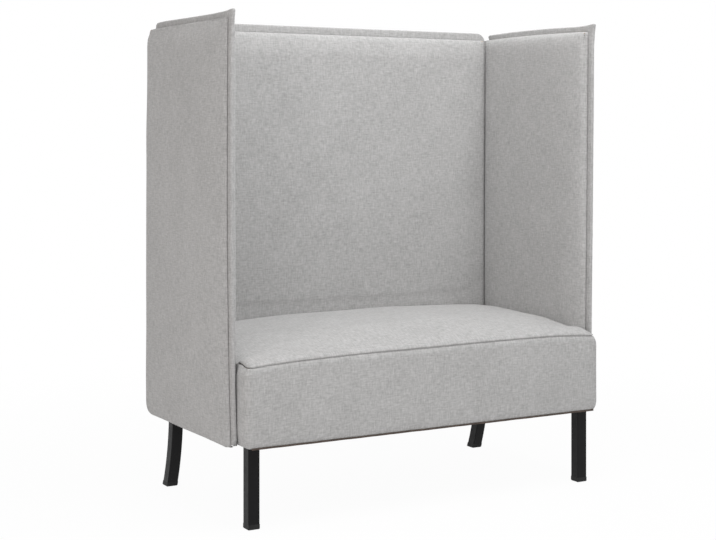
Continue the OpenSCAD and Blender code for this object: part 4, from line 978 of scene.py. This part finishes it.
class SOFA_OT_seat_border(bpy.types.Operator):
    """Border of the seat: front, rounded corners and short side returns"""

    bl_idname = "sofa.seat_border"
    bl_label = "Seat border"

    def execute(self, context):
        size = sizes()
        radius, inner_r, puff = CORNER_R, CORNER_R / 2, size.border_puff
        rows = [(x, SEAT_FRONT_Y, x * (RAIL_X - inner_r) / (SEAT_X - radius), RAIL_FRONT_Y, 0.0)
                for x in np.linspace(0, SEAT_X - radius, 120)]
        for t in np.linspace(0, math.pi / 2, 14)[1:]:
            rows.append((SEAT_X - radius + radius * math.sin(t), SEAT_FRONT_Y + radius * (1 - math.cos(t)),
                         RAIL_X - inner_r + inner_r * math.sin(t), RAIL_FRONT_Y + inner_r * (1 - math.cos(t)),
                         puff * math.sin(t)))
        for s in np.linspace(0, 1, 26)[1:]:
            y = mix(SEAT_FRONT_Y + radius, BORDER_REAR_Y, s)
            fall = float(1 - ease((y - CREASE_Y + 9 * MM) / (12 * MM)))
            rows.append((SEAT_X, y, RAIL_X, mix(RAIL_FRONT_Y + inner_r, BORDER_REAR_Y, s),
                         mix(puff, size.return_puff, float(ease(s / 0.45))) * fall))
        right = np.array(rows)
        left = right[:0:-1].copy()
        left[:, [0, 2, 4]] *= -1
        path = np.vstack([left, right])
        under, lift_share, seam_drop = UNDER_T, 0.35, 2.4 * MM
        rings = []
        for x, y, in_x, in_y, out_x in path:
            outer, inner = np.array([x, y]), np.array([in_x, in_y])
            top = seam_height(x, y) - seam_drop - UNDERSIDE
            side = -1 if x < 0 else 1
            section = [(0.98, 0.985, 0.0)]
            section += [(0.8 * (1 - math.sin(a)), mix(0.9, 1.0, math.cos(a)), 0.0)
                        for a in np.linspace(0, math.pi / 2, 12)]
            section += [(0.0, s, 0.0) for s in np.linspace(0.86, 0.14, 14)]
            section += [(0.62 * (1 - math.cos(a)), 0.12 * (1 - math.sin(a)), -under * math.sin(a) * lift_share)
                        for a in np.linspace(0, math.pi / 2, 8)[1:]]
            section += [(0.85, 0.0, -under), (1.12, 0.0, -under),
                        (1.12, 0.0, -under * 0.12), (1.0, 0.0, -under * 0.12)]
            ring = []
            for share, rise, extra in section:
                q = mix(outer, inner, share)
                puffed = np.interp(rise, (0, 0.004, 0.035, 0.09, 0.16, 0.86, 0.945, 0.985, 1),
                                   (0, 0.2, 0.6, 0.85, 1, 1, 0.6, 0.25, 0)) * max(0.0, 1 - share / 0.6)
                level = UNDERSIDE + top * rise + extra
                room = FLANGE_IN_X - 1.2 * MM - lean(level, y, side) - SEAT_X
                out = side * min(abs(out_x), float(room)) * puffed if out_x else 0.0
                ring.append((q[0] + out, q[1], level))
            rings.append(ring)
        piece = ring_piece("seat_border_cover", rings)
        points = places(piece)
        front = (points[:, 1] < RAIL_FRONT_Y - 1 * MM) | (np.abs(points[:, 0]) > RAIL_X + 1 * MM)
        from_seam = seam_height(points[:, 0], points[:, 1]) - points[:, 2]
        from_foot = points[:, 2] - UNDERSIDE
        heights = size.ripple_height * 1.2 * ripple(points, 0.24, 81)
        heights += puckers(nearness(np.abs(from_seam)), points[:, 0], 73)
        keep = np.clip(from_foot / (8 * MM), 0, 1)
        ends = np.clip((BORDER_REAR_Y - points[:, 1]) / (10 * MM), 0, 1)
        push_out(piece, heights * front * keep * ends)
        settle(piece, held_edges(front, from_seam, from_foot, CREASE_Y - 20 * MM - points[:, 1]),
               size.cover_pressure)
        fit(piece, cover_material(), "cover", "seat_border")
        return {"FINISHED"}


# Pieces under the covers


def thin_sheet(name, across, along, thick, place, keep=None):
    """A closed thin sheet over a grid; place puts grid places and a depth into space, keep picks its cells."""
    points, numbers, faces, threads = [], {}, [], []

    def point(i, j, k):
        if (i, j, k) not in numbers:
            numbers[i, j, k] = len(points)
            points.append(place(across[i], along[j], (k - 0.5) * thick))
        return numbers[i, j, k]

    def face(*corners):
        faces.append([point(*corner) for corner in corners])
        threads.extend((across[i], along[j]) for i, j, _ in corners)

    cells = {(i, j) for i in range(len(across) - 1) for j in range(len(along) - 1)
             if keep is None or keep((across[i] + across[i + 1]) / 2, (along[j] + along[j + 1]) / 2)}
    for i, j in sorted(cells):
        square = [(i, j), (i + 1, j), (i + 1, j + 1), (i, j + 1)]
        face(*[(a, b, 1) for a, b in square])
        face(*[(a, b, 0) for a, b in square[::-1]])
        for beside, p, q in (((i, j - 1), 0, 1), ((i + 1, j), 1, 2), ((i, j + 1), 2, 3), ((i - 1, j), 3, 0)):
            if beside not in cells:
                p, q = square[p], square[q]
                face((*p, 0), (*q, 0), (*q, 1), (*p, 1))
    piece = mesh_piece(name, points, faces, threads)
    piece.data.set_sharp_from_angle(angle=math.radians(50))
    return piece


def rounded_block(name, corner_low, corner_high, corner_r, edge_r):
    """A block with round upright corners and softened edges."""
    levels = [(corner_low.z + edge_r * (1 - math.cos(a)), edge_r * (1 - math.sin(a)))
              for a in np.linspace(0, math.pi / 2, 6)]
    levels += [(z, 0.0) for z in np.linspace(corner_low.z + edge_r, corner_high.z - edge_r, 5)[1:-1]]
    levels += [(corner_high.z - edge_r * (1 - math.sin(a)), edge_r * (1 - math.cos(a)))
               for a in np.linspace(0, math.pi / 2, 6)]
    rings = []
    for z, inset in levels:
        ring = []
        for quarter, (x, y) in enumerate(((corner_high.x, corner_high.y), (corner_low.x, corner_high.y),
                                          (corner_low.x, corner_low.y), (corner_high.x, corner_low.y))):
            way_x, way_y = (1 if x > 0 else -1), (1 if y > 0 else -1)
            for a in np.linspace(0, math.pi / 2, 7) + quarter * math.pi / 2:
                ring.append((x - way_x * corner_r + (corner_r - inset) * math.cos(a),
                             y - way_y * corner_r + (corner_r - inset) * math.sin(a), z))
        rings.append(ring)
    return ring_piece(name, rings)


class SOFA_OT_seat_filling(bpy.types.Operator):
    """Foam block of the seat, on its felt"""

    bl_idname = "sofa.seat_filling"
    bl_label = "Seat foam and felt"

    def execute(self, context):
        foam = speckled("Cut foam", (0.80, 0.76, 0.62), roughness=0.95, grain=700, depth=0.6 * MM,
                        spread=0.08)
        felt = speckled("Needled felt", (0.16, 0.15, 0.14), roughness=0.97, grain=900, depth=0.6 * MM,
                        spread=0.35)
        block = rounded_block("seat_foam_block", low("seat_foam"), high("seat_foam"), 12 * MM, 7 * MM)
        fit(block, foam, "foam", "seat_foam")
        lower, upper = low("seat_felt"), high("seat_felt")
        middle = (lower.z + upper.z) / 2
        sheet = thin_sheet("seat_felt_sheet", np.linspace(lower.x, upper.x, 40),
                           np.linspace(lower.y, upper.y, 20), upper.z - lower.z,
                           lambda x, y, t: (x, y, middle + t))
        fit(sheet, felt, "lining", "seat_felt")
        return {"FINISHED"}


class SOFA_OT_back_straps(bpy.types.Operator):
    """Seven elastic straps across the back's frame"""

    bl_idname = "sofa.back_straps"
    bl_label = "Back straps"

    def execute(self, context):
        webbing = woven("Elastic webbing", (0.06, 0.06, 0.06), (0.018, 0.018, 0.018), pitch=1.5 * MM, bump=0.6)
        lower, upper = low("back_webbing"), high("back_webbing")
        count, width, waist = 7, 60 * MM, 3 * MM
        middle = (lower.y + upper.y) / 2
        for number in range(count):
            centre = mix(lower.z + width / 2, upper.z - width / 2, number / (count - 1))

            def place(x, across, t, centre=centre):
                drawn = 1 - waist / width * (1 - (x / upper.x) ** 2)
                return x, middle - t, centre + across * drawn

            strap = thin_sheet(f"back_strap_{number + 1}", np.linspace(lower.x, upper.x, 48),
                               np.linspace(-width / 2, width / 2, 7), upper.y - lower.y, place)
            fit(strap, webbing, "lining", "back_webbing")
        return {"FINISHED"}


class SOFA_OT_dust_cloth(bpy.types.Operator):
    """Dust cloth under the frame, cut out round the legs, with a dark strip along the front edge as painted
    shade under the apron
    """

    bl_idname = "sofa.dust_cloth"
    bl_label = "Dust cloth"

    def execute(self, context):
        lower, upper = low("dust_cover"), high("dust_cover")
        leg_x, leg_mid_x, front_cut, rear_cut = 460 * MM, 500 * MM, (-272 * MM, -170 * MM), 154.3 * MM
        middle, sag = (lower.z + upper.z) / 2, 2.5 * MM

        def place(x, y, t):
            dip = sag * (1 - (x / upper.x) ** 2) * math.sin(math.pi * (y - lower.y) / (upper.y - lower.y))
            return x, y, middle - dip + t

        def is_cloth(x, y):
            return abs(x) < leg_x or not (front_cut[0] < y < front_cut[1] or y > rear_cut)

        across = np.concatenate([[-upper.x, -leg_mid_x], np.linspace(-leg_x, leg_x, 42), [leg_mid_x, upper.x]])
        along = np.concatenate([[lower.y], np.linspace(front_cut[0], front_cut[1], 6),
                                np.linspace(front_cut[1], rear_cut, 14)[1:],
                                np.linspace(rear_cut, upper.y, 5)[1:]])
        cloth = thin_sheet("dust_cloth", across, along, upper.z - lower.z, place, is_cloth)
        lining = speckled("Black lining", (0.02, 0.02, 0.021), roughness=0.95, grain=1200, depth=0.2 * MM,
                          spread=0.3)
        fit(cloth, lining, "lining", "dust_cover")
        # A dark brown strip just behind the apron's bottom edge: painted shade, the thin dark line of shade
        # under the apron.
        strip_y, strip_x, strip_low, strip_top = SEAT_FRONT_Y + 3.2 * MM, SEAT_X - 9 * MM, -4.8 * MM, 0.0

        def place_shade_strip(x, drop, t):
            uneven = 0.3 * MM * float(wave(np.array([x]), 0.11, 91)[0])
            return x, strip_y - t, UNDERSIDE + drop + uneven

        shade_strip = thin_sheet("dust_cloth_shade_strip", np.linspace(-strip_x, strip_x, 120),
                          np.linspace(strip_low, strip_top, 4), 0.8 * MM, place_shade_strip)
        brown = speckled("Brown shade strip", (0.09, 0.07, 0.06), roughness=0.9, grain=1500, depth=0.2 * MM,
                         spread=0.3)
        fit(shade_strip, brown, "lining")
        return {"FINISHED"}


class SOFA_OT_corner_laps(bpy.types.Operator):
    """Cloth over the rear posts, behind the back's rounded top corners"""

    bl_idname = "sofa.corner_laps"
    bl_label = "Corner laps"

    def execute(self, context):
        inner, outer, height, thick = BACK_CORE_X + 1 * MM, REAR_SEAM_X, 120 * MM, 0.3 * MM
        y, top = BACK_FLANGE_Y1 + 0.2 * MM, CORE_TOP + 1.5 * MM
        for name, side in SIDES:
            ends = (inner, outer) if side > 0 else (-outer, -inner)
            lap = thin_sheet(f"corner_lap_{name}", np.linspace(*ends, 9), np.linspace(top - height, top, 20),
                             thick, lambda x, z, t: (x, y - t, z))
            fit(lap, cover_material(), "cover")
        return {"FINISHED"}


# Node trees


def put(tree, kind, settings=None, **inputs):
    """Adds a node; an input takes a value, or a socket to be joined to it."""
    made = tree.nodes.new(kind)
    for key, value in (settings or {}).items():
        setattr(made, key, value)
    for key, value in inputs.items():
        name = key.replace("_", " ")
        socket = made.inputs[int(key[1:])] if key[1:].isdigit() else made.inputs[name]
        if isinstance(value, bpy.types.NodeSocket):
            tree.links.new(value, socket)
        else:
            socket.default_value = value
    return made


def calc(tree, operation, a, b=0.0):
    return put(tree, "ShaderNodeMath", {"operation": operation}, i0=a, i1=b).outputs[0]


def blend_colours(tree, share, a, b):
    made = put(tree, "ShaderNodeMix", {"data_type": "RGBA"}, i0=share)
    for index, value in ((6, a), (7, b)):
        if isinstance(value, bpy.types.NodeSocket):
            tree.links.new(value, made.inputs[index])
        else:
            made.inputs[index].default_value = value
    return made.outputs[2]


def new_group(name, inputs, outputs):
    """An empty node group; inputs are (name, type, default) and outputs (name, type)."""
    group = bpy.data.node_groups.new(name, "ShaderNodeTree")
    for title, kind, default in inputs:
        socket = group.interface.new_socket(name=title, in_out="INPUT", socket_type=kind)
        if default is not None:
            socket.default_value = default
    for title, kind in outputs:
        group.interface.new_socket(name=title, in_out="OUTPUT", socket_type=kind)
    return group, group.nodes.new("NodeGroupInput"), group.nodes.new("NodeGroupOutput")


def place_group(tree, group, **inputs):
    made = put(tree, "ShaderNodeGroup", {"node_tree": group})
    for key, value in inputs.items():
        socket = made.inputs[key.replace("_", " ")]
        if isinstance(value, bpy.types.NodeSocket):
            tree.links.new(value, socket)
        else:
            socket.default_value = value
    return made


def yarn_weave():
    """Group: a plain weave of uneven yarns, with a tone and a height."""
    if "Yarn weave" in bpy.data.node_groups:
        return bpy.data.node_groups["Yarn weave"]
    group, entry, leave = new_group(
        "Yarn weave",
        [("Threads", "NodeSocketVector", None), ("Pitch", "NodeSocketFloat", 0.0009),
         ("Streak", "NodeSocketFloat", 0.08)],
        [("Tone", "NodeSocketFloat"), ("Height", "NodeSocketFloat"), ("Slub", "NodeSocketFloat")])
    inverse = calc(group, "DIVIDE", 1.0, entry.outputs["Pitch"])
    scaled = put(group, "ShaderNodeVectorMath", {"operation": "SCALE"}, i0=entry.outputs["Threads"])
    group.links.new(inverse, scaled.inputs["Scale"])
    split = put(group, "ShaderNodeSeparateXYZ", Vector=scaled.outputs[0])
    across, along = split.outputs["X"], split.outputs["Y"]
    sine_across = calc(group, "SINE", calc(group, "MULTIPLY", across, math.pi))
    sine_along = calc(group, "SINE", calc(group, "MULTIPLY", along, math.pi))
    over = calc(group, "GREATER_THAN", calc(group, "MULTIPLY", sine_across, sine_along), 0.0)
    tones = []
    for number, place, offset in ((across, along, 3.7), (along, across, 61.3)):
        whole = calc(group, "MULTIPLY", calc(group, "FLOOR", number), 7.31)
        run = calc(group, "MULTIPLY", place, entry.outputs["Streak"])
        spot = put(group, "ShaderNodeCombineXYZ", X=whole, Y=run, Z=offset)
        tones.append(put(group, "ShaderNodeTexNoise", None, Vector=spot.outputs[0], Scale=1.0,
                         Detail=2.0, Roughness=0.6).outputs[0])
    tone = put(group, "ShaderNodeMix", {"data_type": "FLOAT"}, i0=over, i2=tones[1], i3=tones[0])
    height = put(group, "ShaderNodeMix", {"data_type": "FLOAT"}, i0=over,
                 i2=calc(group, "ABSOLUTE", sine_along), i3=calc(group, "ABSOLUTE", sine_across))
    slubs = []
    for wide, long, offset in ((across, along, 17.0), (along, across, 43.0)):
        spot = put(group, "ShaderNodeCombineXYZ", X=calc(group, "MULTIPLY", wide, 0.3),
                   Y=calc(group, "MULTIPLY", long, 0.035), Z=offset)
        slubs.append(put(group, "ShaderNodeTexNoise", None, Vector=spot.outputs[0], Scale=1.0,
                         Detail=1.0).outputs[0])
    group.links.new(tone.outputs[0], leave.inputs["Tone"])
    group.links.new(height.outputs[0], leave.inputs["Height"])
    group.links.new(calc(group, "SUBTRACT", calc(group, "ADD", slubs[0], slubs[1]), 1.0), leave.inputs["Slub"])
    return group


def soft_patches():
    """Group: slow and middling unevenness of tone through space."""
    if "Soft patches" in bpy.data.node_groups:
        return bpy.data.node_groups["Soft patches"]
    group, entry, leave = new_group(
        "Soft patches", [("Place", "NodeSocketVector", None), ("Size", "NodeSocketFloat", 0.06)],
        [("Slow", "NodeSocketFloat"), ("Fine", "NodeSocketFloat")])
    scale = calc(group, "DIVIDE", 1.0, entry.outputs["Size"])
    slow = put(group, "ShaderNodeTexNoise", None, Vector=entry.outputs["Place"], Scale=scale, Detail=2.0)
    fine = put(group, "ShaderNodeTexNoise", None, Vector=entry.outputs["Place"],
               Scale=calc(group, "MULTIPLY", scale, 14.0), Detail=3.0)
    group.links.new(slow.outputs[0], leave.inputs["Slow"])
    group.links.new(fine.outputs[0], leave.inputs["Fine"])
    return group


def new_material(name):
    """A new material with its tree and Principled shader; one made before comes without them."""
    if name in bpy.data.materials:
        return bpy.data.materials[name], None, None
    material = bpy.data.materials.new(name)
    material.use_nodes = True
    tree = material.node_tree
    shader = next(n for n in tree.nodes if n.type == "BSDF_PRINCIPLED")
    return material, tree, shader


def rgba(colour, factor=1.0):
    return (colour[0] * factor, colour[1] * factor, colour[2] * factor, 1.0)


def woven(name, light, dark, pitch, bump):
    """A woven cloth with uneven yarns, soft patches of tone and thread relief."""
    material, tree, shader = new_material(name)
    if tree is None:
        return material
    threads = put(tree, "ShaderNodeUVMap", {"uv_map": "Threads"})
    object_place = put(tree, "ShaderNodeTexCoord")
    weave = place_group(tree, yarn_weave(), Threads=threads.outputs[0], Pitch=pitch, Streak=0.07)
    patches = place_group(tree, soft_patches(), Place=object_place.outputs["Object"], Size=0.09)
    tone = calc(tree, "ADD", calc(tree, "MULTIPLY", weave.outputs["Tone"], 1.2), -0.1)
    tone = calc(tree, "ADD", tone, calc(tree, "MULTIPLY", weave.outputs["Slub"], 1.1))
    for output, share in (("Slow", 0.4), ("Fine", 1.0)):
        uneven = calc(tree, "SUBTRACT", patches.outputs[output], 0.5)
        tone = calc(tree, "ADD", tone, calc(tree, "MULTIPLY", uneven, share))
    clamped = put(tree, "ShaderNodeClamp", None, Value=tone)
    colour = blend_colours(tree, clamped.outputs[0], rgba(dark), rgba(light))
    tree.links.new(colour, shader.inputs["Base Color"])
    fuzz = put(tree, "ShaderNodeTexNoise", None, Vector=object_place.outputs["Object"], Scale=900.0, Detail=2.0)
    relief = calc(tree, "ADD", weave.outputs["Height"], calc(tree, "MULTIPLY", fuzz.outputs[0], 0.5))
    bumped = put(tree, "ShaderNodeBump", None, Strength=bump, Distance=0.0003, Height=relief)
    tree.links.new(bumped.outputs[0], shader.inputs["Normal"])
    shader.inputs["Roughness"].default_value = 0.92
    shader.inputs["Specular IOR Level"].default_value = 0.2
    shader.inputs["Sheen Weight"].default_value = 0.18
    shader.inputs["Sheen Roughness"].default_value = 0.55
    return material


def cover_material(name="Woven cover", shade=1.0):
    colour = colours()
    light, dark = (tuple(c * shade for c in yarn) for yarn in (colour.cover_light, colour.cover_dark))
    return woven(name, light, dark, colour.yarn_pitch, bump=0.35)


def painted_shade_flange_material():
    """The covers' cloth, a shade darker on the flanges: painted shade."""
    # Painted shade: the flanges' cloth is darkened by 0.97 for the shade that falls on the flanges.
    return cover_material("Woven flange", 0.97)


def grained(name, colour, factor, stretch, roughness, lines):
    """Planed timber or board: long grain along the stretched axis, with fine pores."""
    material, tree, shader = new_material(name)
    if tree is None:
        return material
    place = put(tree, "ShaderNodeTexCoord")
    mapped = put(tree, "ShaderNodeMapping", None, Vector=place.outputs["Object"], Scale=stretch)
    rings = put(tree, "ShaderNodeTexNoise", None, Vector=mapped.outputs[0], Scale=lines, Detail=5.0,
                Distortion=1.2)
    pores = put(tree, "ShaderNodeTexNoise", None, Vector=mapped.outputs[0], Scale=lines * 9, Detail=2.0)
    tone = calc(tree, "ADD", rings.outputs[0], calc(tree, "MULTIPLY", pores.outputs[0], 0.3))
    sharp = put(tree, "ShaderNodeMapRange", None, Value=tone, i1=0.4, i2=0.9)
    blended = blend_colours(tree, sharp.outputs[0], rgba(colour, factor), rgba(colour))
    tree.links.new(blended, shader.inputs["Base Color"])
    bumped = put(tree, "ShaderNodeBump", None, Strength=0.2, Distance=0.0004, Height=pores.outputs[0])
    tree.links.new(bumped.outputs[0], shader.inputs["Normal"])
    shader.inputs["Roughness"].default_value = roughness
    return material


def speckled(name, colour, roughness, grain, depth, metallic=0.0, spread=0.25):
    """Powder coat, moulded plastic, foam or plated steel: fine grain in relief and in roughness."""
    material, tree, shader = new_material(name)
    if tree is None:
        return material
    place = put(tree, "ShaderNodeTexCoord")
    fine = put(tree, "ShaderNodeTexNoise", None, Vector=place.outputs["Object"], Scale=grain, Detail=3.0)
    broad = put(tree, "ShaderNodeTexNoise", None, Vector=place.outputs["Object"], Scale=grain / 40, Detail=3.0)
    tone = put(tree, "ShaderNodeMapRange", None, Value=broad.outputs[0], i1=0.3, i2=0.7)
    blended = blend_colours(tree, tone.outputs[0], rgba(colour, 1 - spread), rgba(colour, 1 + spread))
    tree.links.new(blended, shader.inputs["Base Color"])
    rough = put(tree, "ShaderNodeMapRange", None, Value=broad.outputs[0], i1=0.3, i2=0.7,
                i3=roughness - 0.06, i4=roughness + 0.08)
    tree.links.new(rough.outputs[0], shader.inputs["Roughness"])
    bumped = put(tree, "ShaderNodeBump", None, Strength=0.35, Distance=depth, Height=fine.outputs[0])
    tree.links.new(bumped.outputs[0], shader.inputs["Normal"])
    shader.inputs["Metallic"].default_value = metallic
    if not metallic:
        shader.inputs["Specular IOR Level"].default_value = 0.16
    return material


def finish_nodes(material, *nodes):
    """Puts a material on CAD nodes that stay."""
    for node in nodes:
        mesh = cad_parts[node].data
        mesh.materials.clear()
        mesh.materials.append(material)


def named(*words):
    """CAD nodes whose name holds one of the words."""
    return [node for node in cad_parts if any(word in node for word in words)]


class SOFA_OT_legs(bpy.types.Operator):
    """Powder coat on the steel legs and grain on their plastic feet"""

    bl_idname = "sofa.legs"
    bl_label = "Legs and feet"

    def execute(self, context):
        coat = speckled("Black powder coat", colours().leg_black, roughness=0.42, grain=2600, depth=0.06 * MM)
        plastic = speckled("Foot plastic", (0.022, 0.022, 0.022), roughness=0.55, grain=1800, depth=0.08 * MM)
        finish_nodes(coat, *named("leg_front", "leg_rear"))
        finish_nodes(plastic, *named("glide_"))
        return {"FINISHED"}


class SOFA_OT_frame_finishes(bpy.types.Operator):
    """Timber, boards, springs and fasteners inside the covers"""

    bl_idname = "sofa.frame_finishes"
    bl_label = "Frame finishes"

    def execute(self, context):
        timber = grained("Planed timber", colours().timber, factor=0.62, stretch=(1, 1, 0.12), roughness=0.6,
                         lines=60)
        board = grained("Hardboard", (0.30, 0.19, 0.10), factor=0.8, stretch=(1, 1, 1), roughness=0.7,
                        lines=220)
        zinc = speckled("Zinc plate", (0.60, 0.60, 0.62), roughness=0.35, grain=1500, depth=0.04 * MM,
                        metallic=1.0, spread=0.1)
        finish_nodes(timber, *named("rail", "stile", "rear_post", "corner_blocks", "dowels"))
        finish_nodes(board, *named("skin", "board"))
        finish_nodes(zinc, *named("bolts", "tee_nuts", "springs", "clips"))
        return {"FINISHED"}


class SOFA_OT_stage(bpy.types.Operator):
    """Pale floor, soft studio lamps and the camera"""

    bl_idname = "sofa.stage"
    bl_label = "Stage"

    def execute(self, context):
        scene = context.scene
        scene.view_settings.view_transform = "Standard"
        self.floor(scene)
        self.lamps(scene)
        self.world(scene)
        self.camera(scene)
        return {"FINISHED"}

    @staticmethod
    def seen(tree):
        """1 for rays that show a background: camera, glossy and transmission rays."""
        path = put(tree, "ShaderNodeLightPath")
        return calc(tree, "MAXIMUM", path.outputs["Is Camera Ray"],
                    calc(tree, "MAXIMUM", path.outputs["Is Glossy Ray"], path.outputs["Is Transmission Ray"]))

    def floor(self, scene):
        reach, near_by, far_off, least_white = 14.0, 0.9, 2.6, 0.965
        corners = [(-reach, -reach, 0), (reach, -reach, 0), (reach, reach, 0), (-reach, reach, 0)]
        floor = mesh_piece("studio_floor", corners, [[0, 1, 2, 3]])
        material = bpy.data.materials.new("Studio floor")
        material.use_nodes = True
        tree = material.node_tree
        tree.nodes.clear()
        plain = put(tree, "ShaderNodeBsdfDiffuse", None, Color=rgba(colours().floor))
        white = put(tree, "ShaderNodeEmission", None, Color=(1, 1, 1, 1), Strength=1.0)
        place = put(tree, "ShaderNodeTexCoord")
        away = put(tree, "ShaderNodeVectorMath", {"operation": "LENGTH"}, i0=place.outputs["Object"])
        fade = put(tree, "ShaderNodeMapRange", {"interpolation_type": "SMOOTHSTEP"},
                   Value=away.outputs["Value"], i1=near_by, i2=far_off, i3=least_white, i4=1.0)
        white_share = calc(tree, "MULTIPLY", self.seen(tree), fade.outputs[0])
        both = put(tree, "ShaderNodeMixShader", None, i0=white_share, i1=plain.outputs[0], i2=white.outputs[0])
        out = put(tree, "ShaderNodeOutputMaterial", None, Surface=both.outputs[0])
        out.is_active_output = True
        floor.data.materials.append(material)

    def lamps(self, scene):
        for name, place, aim, side, power, colour in (
                ("top_softbox", (0.1, -1.0, 3.2), (0, 0.05, 0.5), 2.0, 66, (0.985, 0.99, 1.0)),
                ("left_softbox", (-3.6, -0.9, 1.2), (0, 0, 0.6), 2.4, 10, (1.0, 0.84, 0.76)),
                ("front_softbox", (-3.6, -3.2, 1.5), (0, 0, 0.6), 2.0, 30, (1.0, 0.985, 0.975))):
            lamp = bpy.data.lights.new(name, "AREA")
            lamp.shape = "SQUARE"
            lamp.size = side
            lamp.energy = power
            lamp.color = colour
            holder = bpy.data.objects.new(name, lamp)
            scene.collection.objects.link(holder)
            holder.location = place
            way = np.array(aim, float) - np.array(place, float)
            flat = math.hypot(way[0], way[1])
            holder.rotation_euler = (math.atan2(flat, -way[2]), 0, math.atan2(-way[0], way[1]))

    def world(self, scene):
        world = bpy.data.worlds.new("Studio")
        scene.world = world
        world.use_nodes = True
        tree = world.node_tree
        tree.nodes.clear()
        strength = put(tree, "ShaderNodeMix", {"data_type": "FLOAT"}, i0=self.seen(tree), i2=0.55, i3=1.0)
        sky = put(tree, "ShaderNodeBackground", None, Color=(1, 1, 1, 1), Strength=strength.outputs[0])
        put(tree, "ShaderNodeOutputWorld", None, Surface=sky.outputs[0])

    def camera(self, scene):
        """A level camera in front and to the left, with the frame shifted down."""
        camera = bpy.data.cameras.new("photo_camera")
        camera.lens = 74.32
        camera.sensor_width = 36.0
        camera.shift_y = -0.1899
        holder = bpy.data.objects.new("photo_camera", camera)
        scene.collection.objects.link(holder)
        holder.location = (-2.1568, -3.6613, 1.0054)
        holder.rotation_euler = (math.radians(90), 0, math.radians(-29.72))
        scene.camera = holder


class SOFA_PT_panel(bpy.types.Panel):
    """Lists the sofa's pieces and sizes"""

    bl_idname = "SOFA_PT_panel"
    bl_label = "High-back sofa"
    bl_space_type = "VIEW_3D"
    bl_region_type = "UI"
    bl_category = "Sofa"

    def draw(self, context):
        for operator in PIECES:
            self.layout.operator(operator.bl_idname)
        for group in (context.scene.sofa_sizes, context.scene.sofa_colours):
            for name in group.__annotations__:
                self.layout.prop(group, name)


PIECES = (
    SOFA_OT_outer_covers, SOFA_OT_inner_covers, SOFA_OT_wing_flanges, SOFA_OT_back_front, SOFA_OT_back_flange,
    SOFA_OT_back_rear, SOFA_OT_seat_top, SOFA_OT_seat_border, SOFA_OT_seat_filling, SOFA_OT_back_straps,
    SOFA_OT_dust_cloth, SOFA_OT_corner_laps, SOFA_OT_legs, SOFA_OT_frame_finishes, SOFA_OT_stage)
CLASSES = (SofaSizes, SofaColours) + PIECES + (SOFA_PT_panel,)


def register():
    for made in CLASSES:
        bpy.utils.register_class(made)
    bpy.types.Scene.sofa_sizes = bpy.props.PointerProperty(type=SofaSizes)
    bpy.types.Scene.sofa_colours = bpy.props.PointerProperty(type=SofaColours)


def unregister():
    del bpy.types.Scene.sofa_colours
    del bpy.types.Scene.sofa_sizes
    for made in reversed(CLASSES):
        bpy.utils.unregister_class(made)


def main():
    register()
    for operator in PIECES:
        family, name = operator.bl_idname.split(".")
        getattr(getattr(bpy.ops, family), name)()


if __name__ == "__main__":
    main()
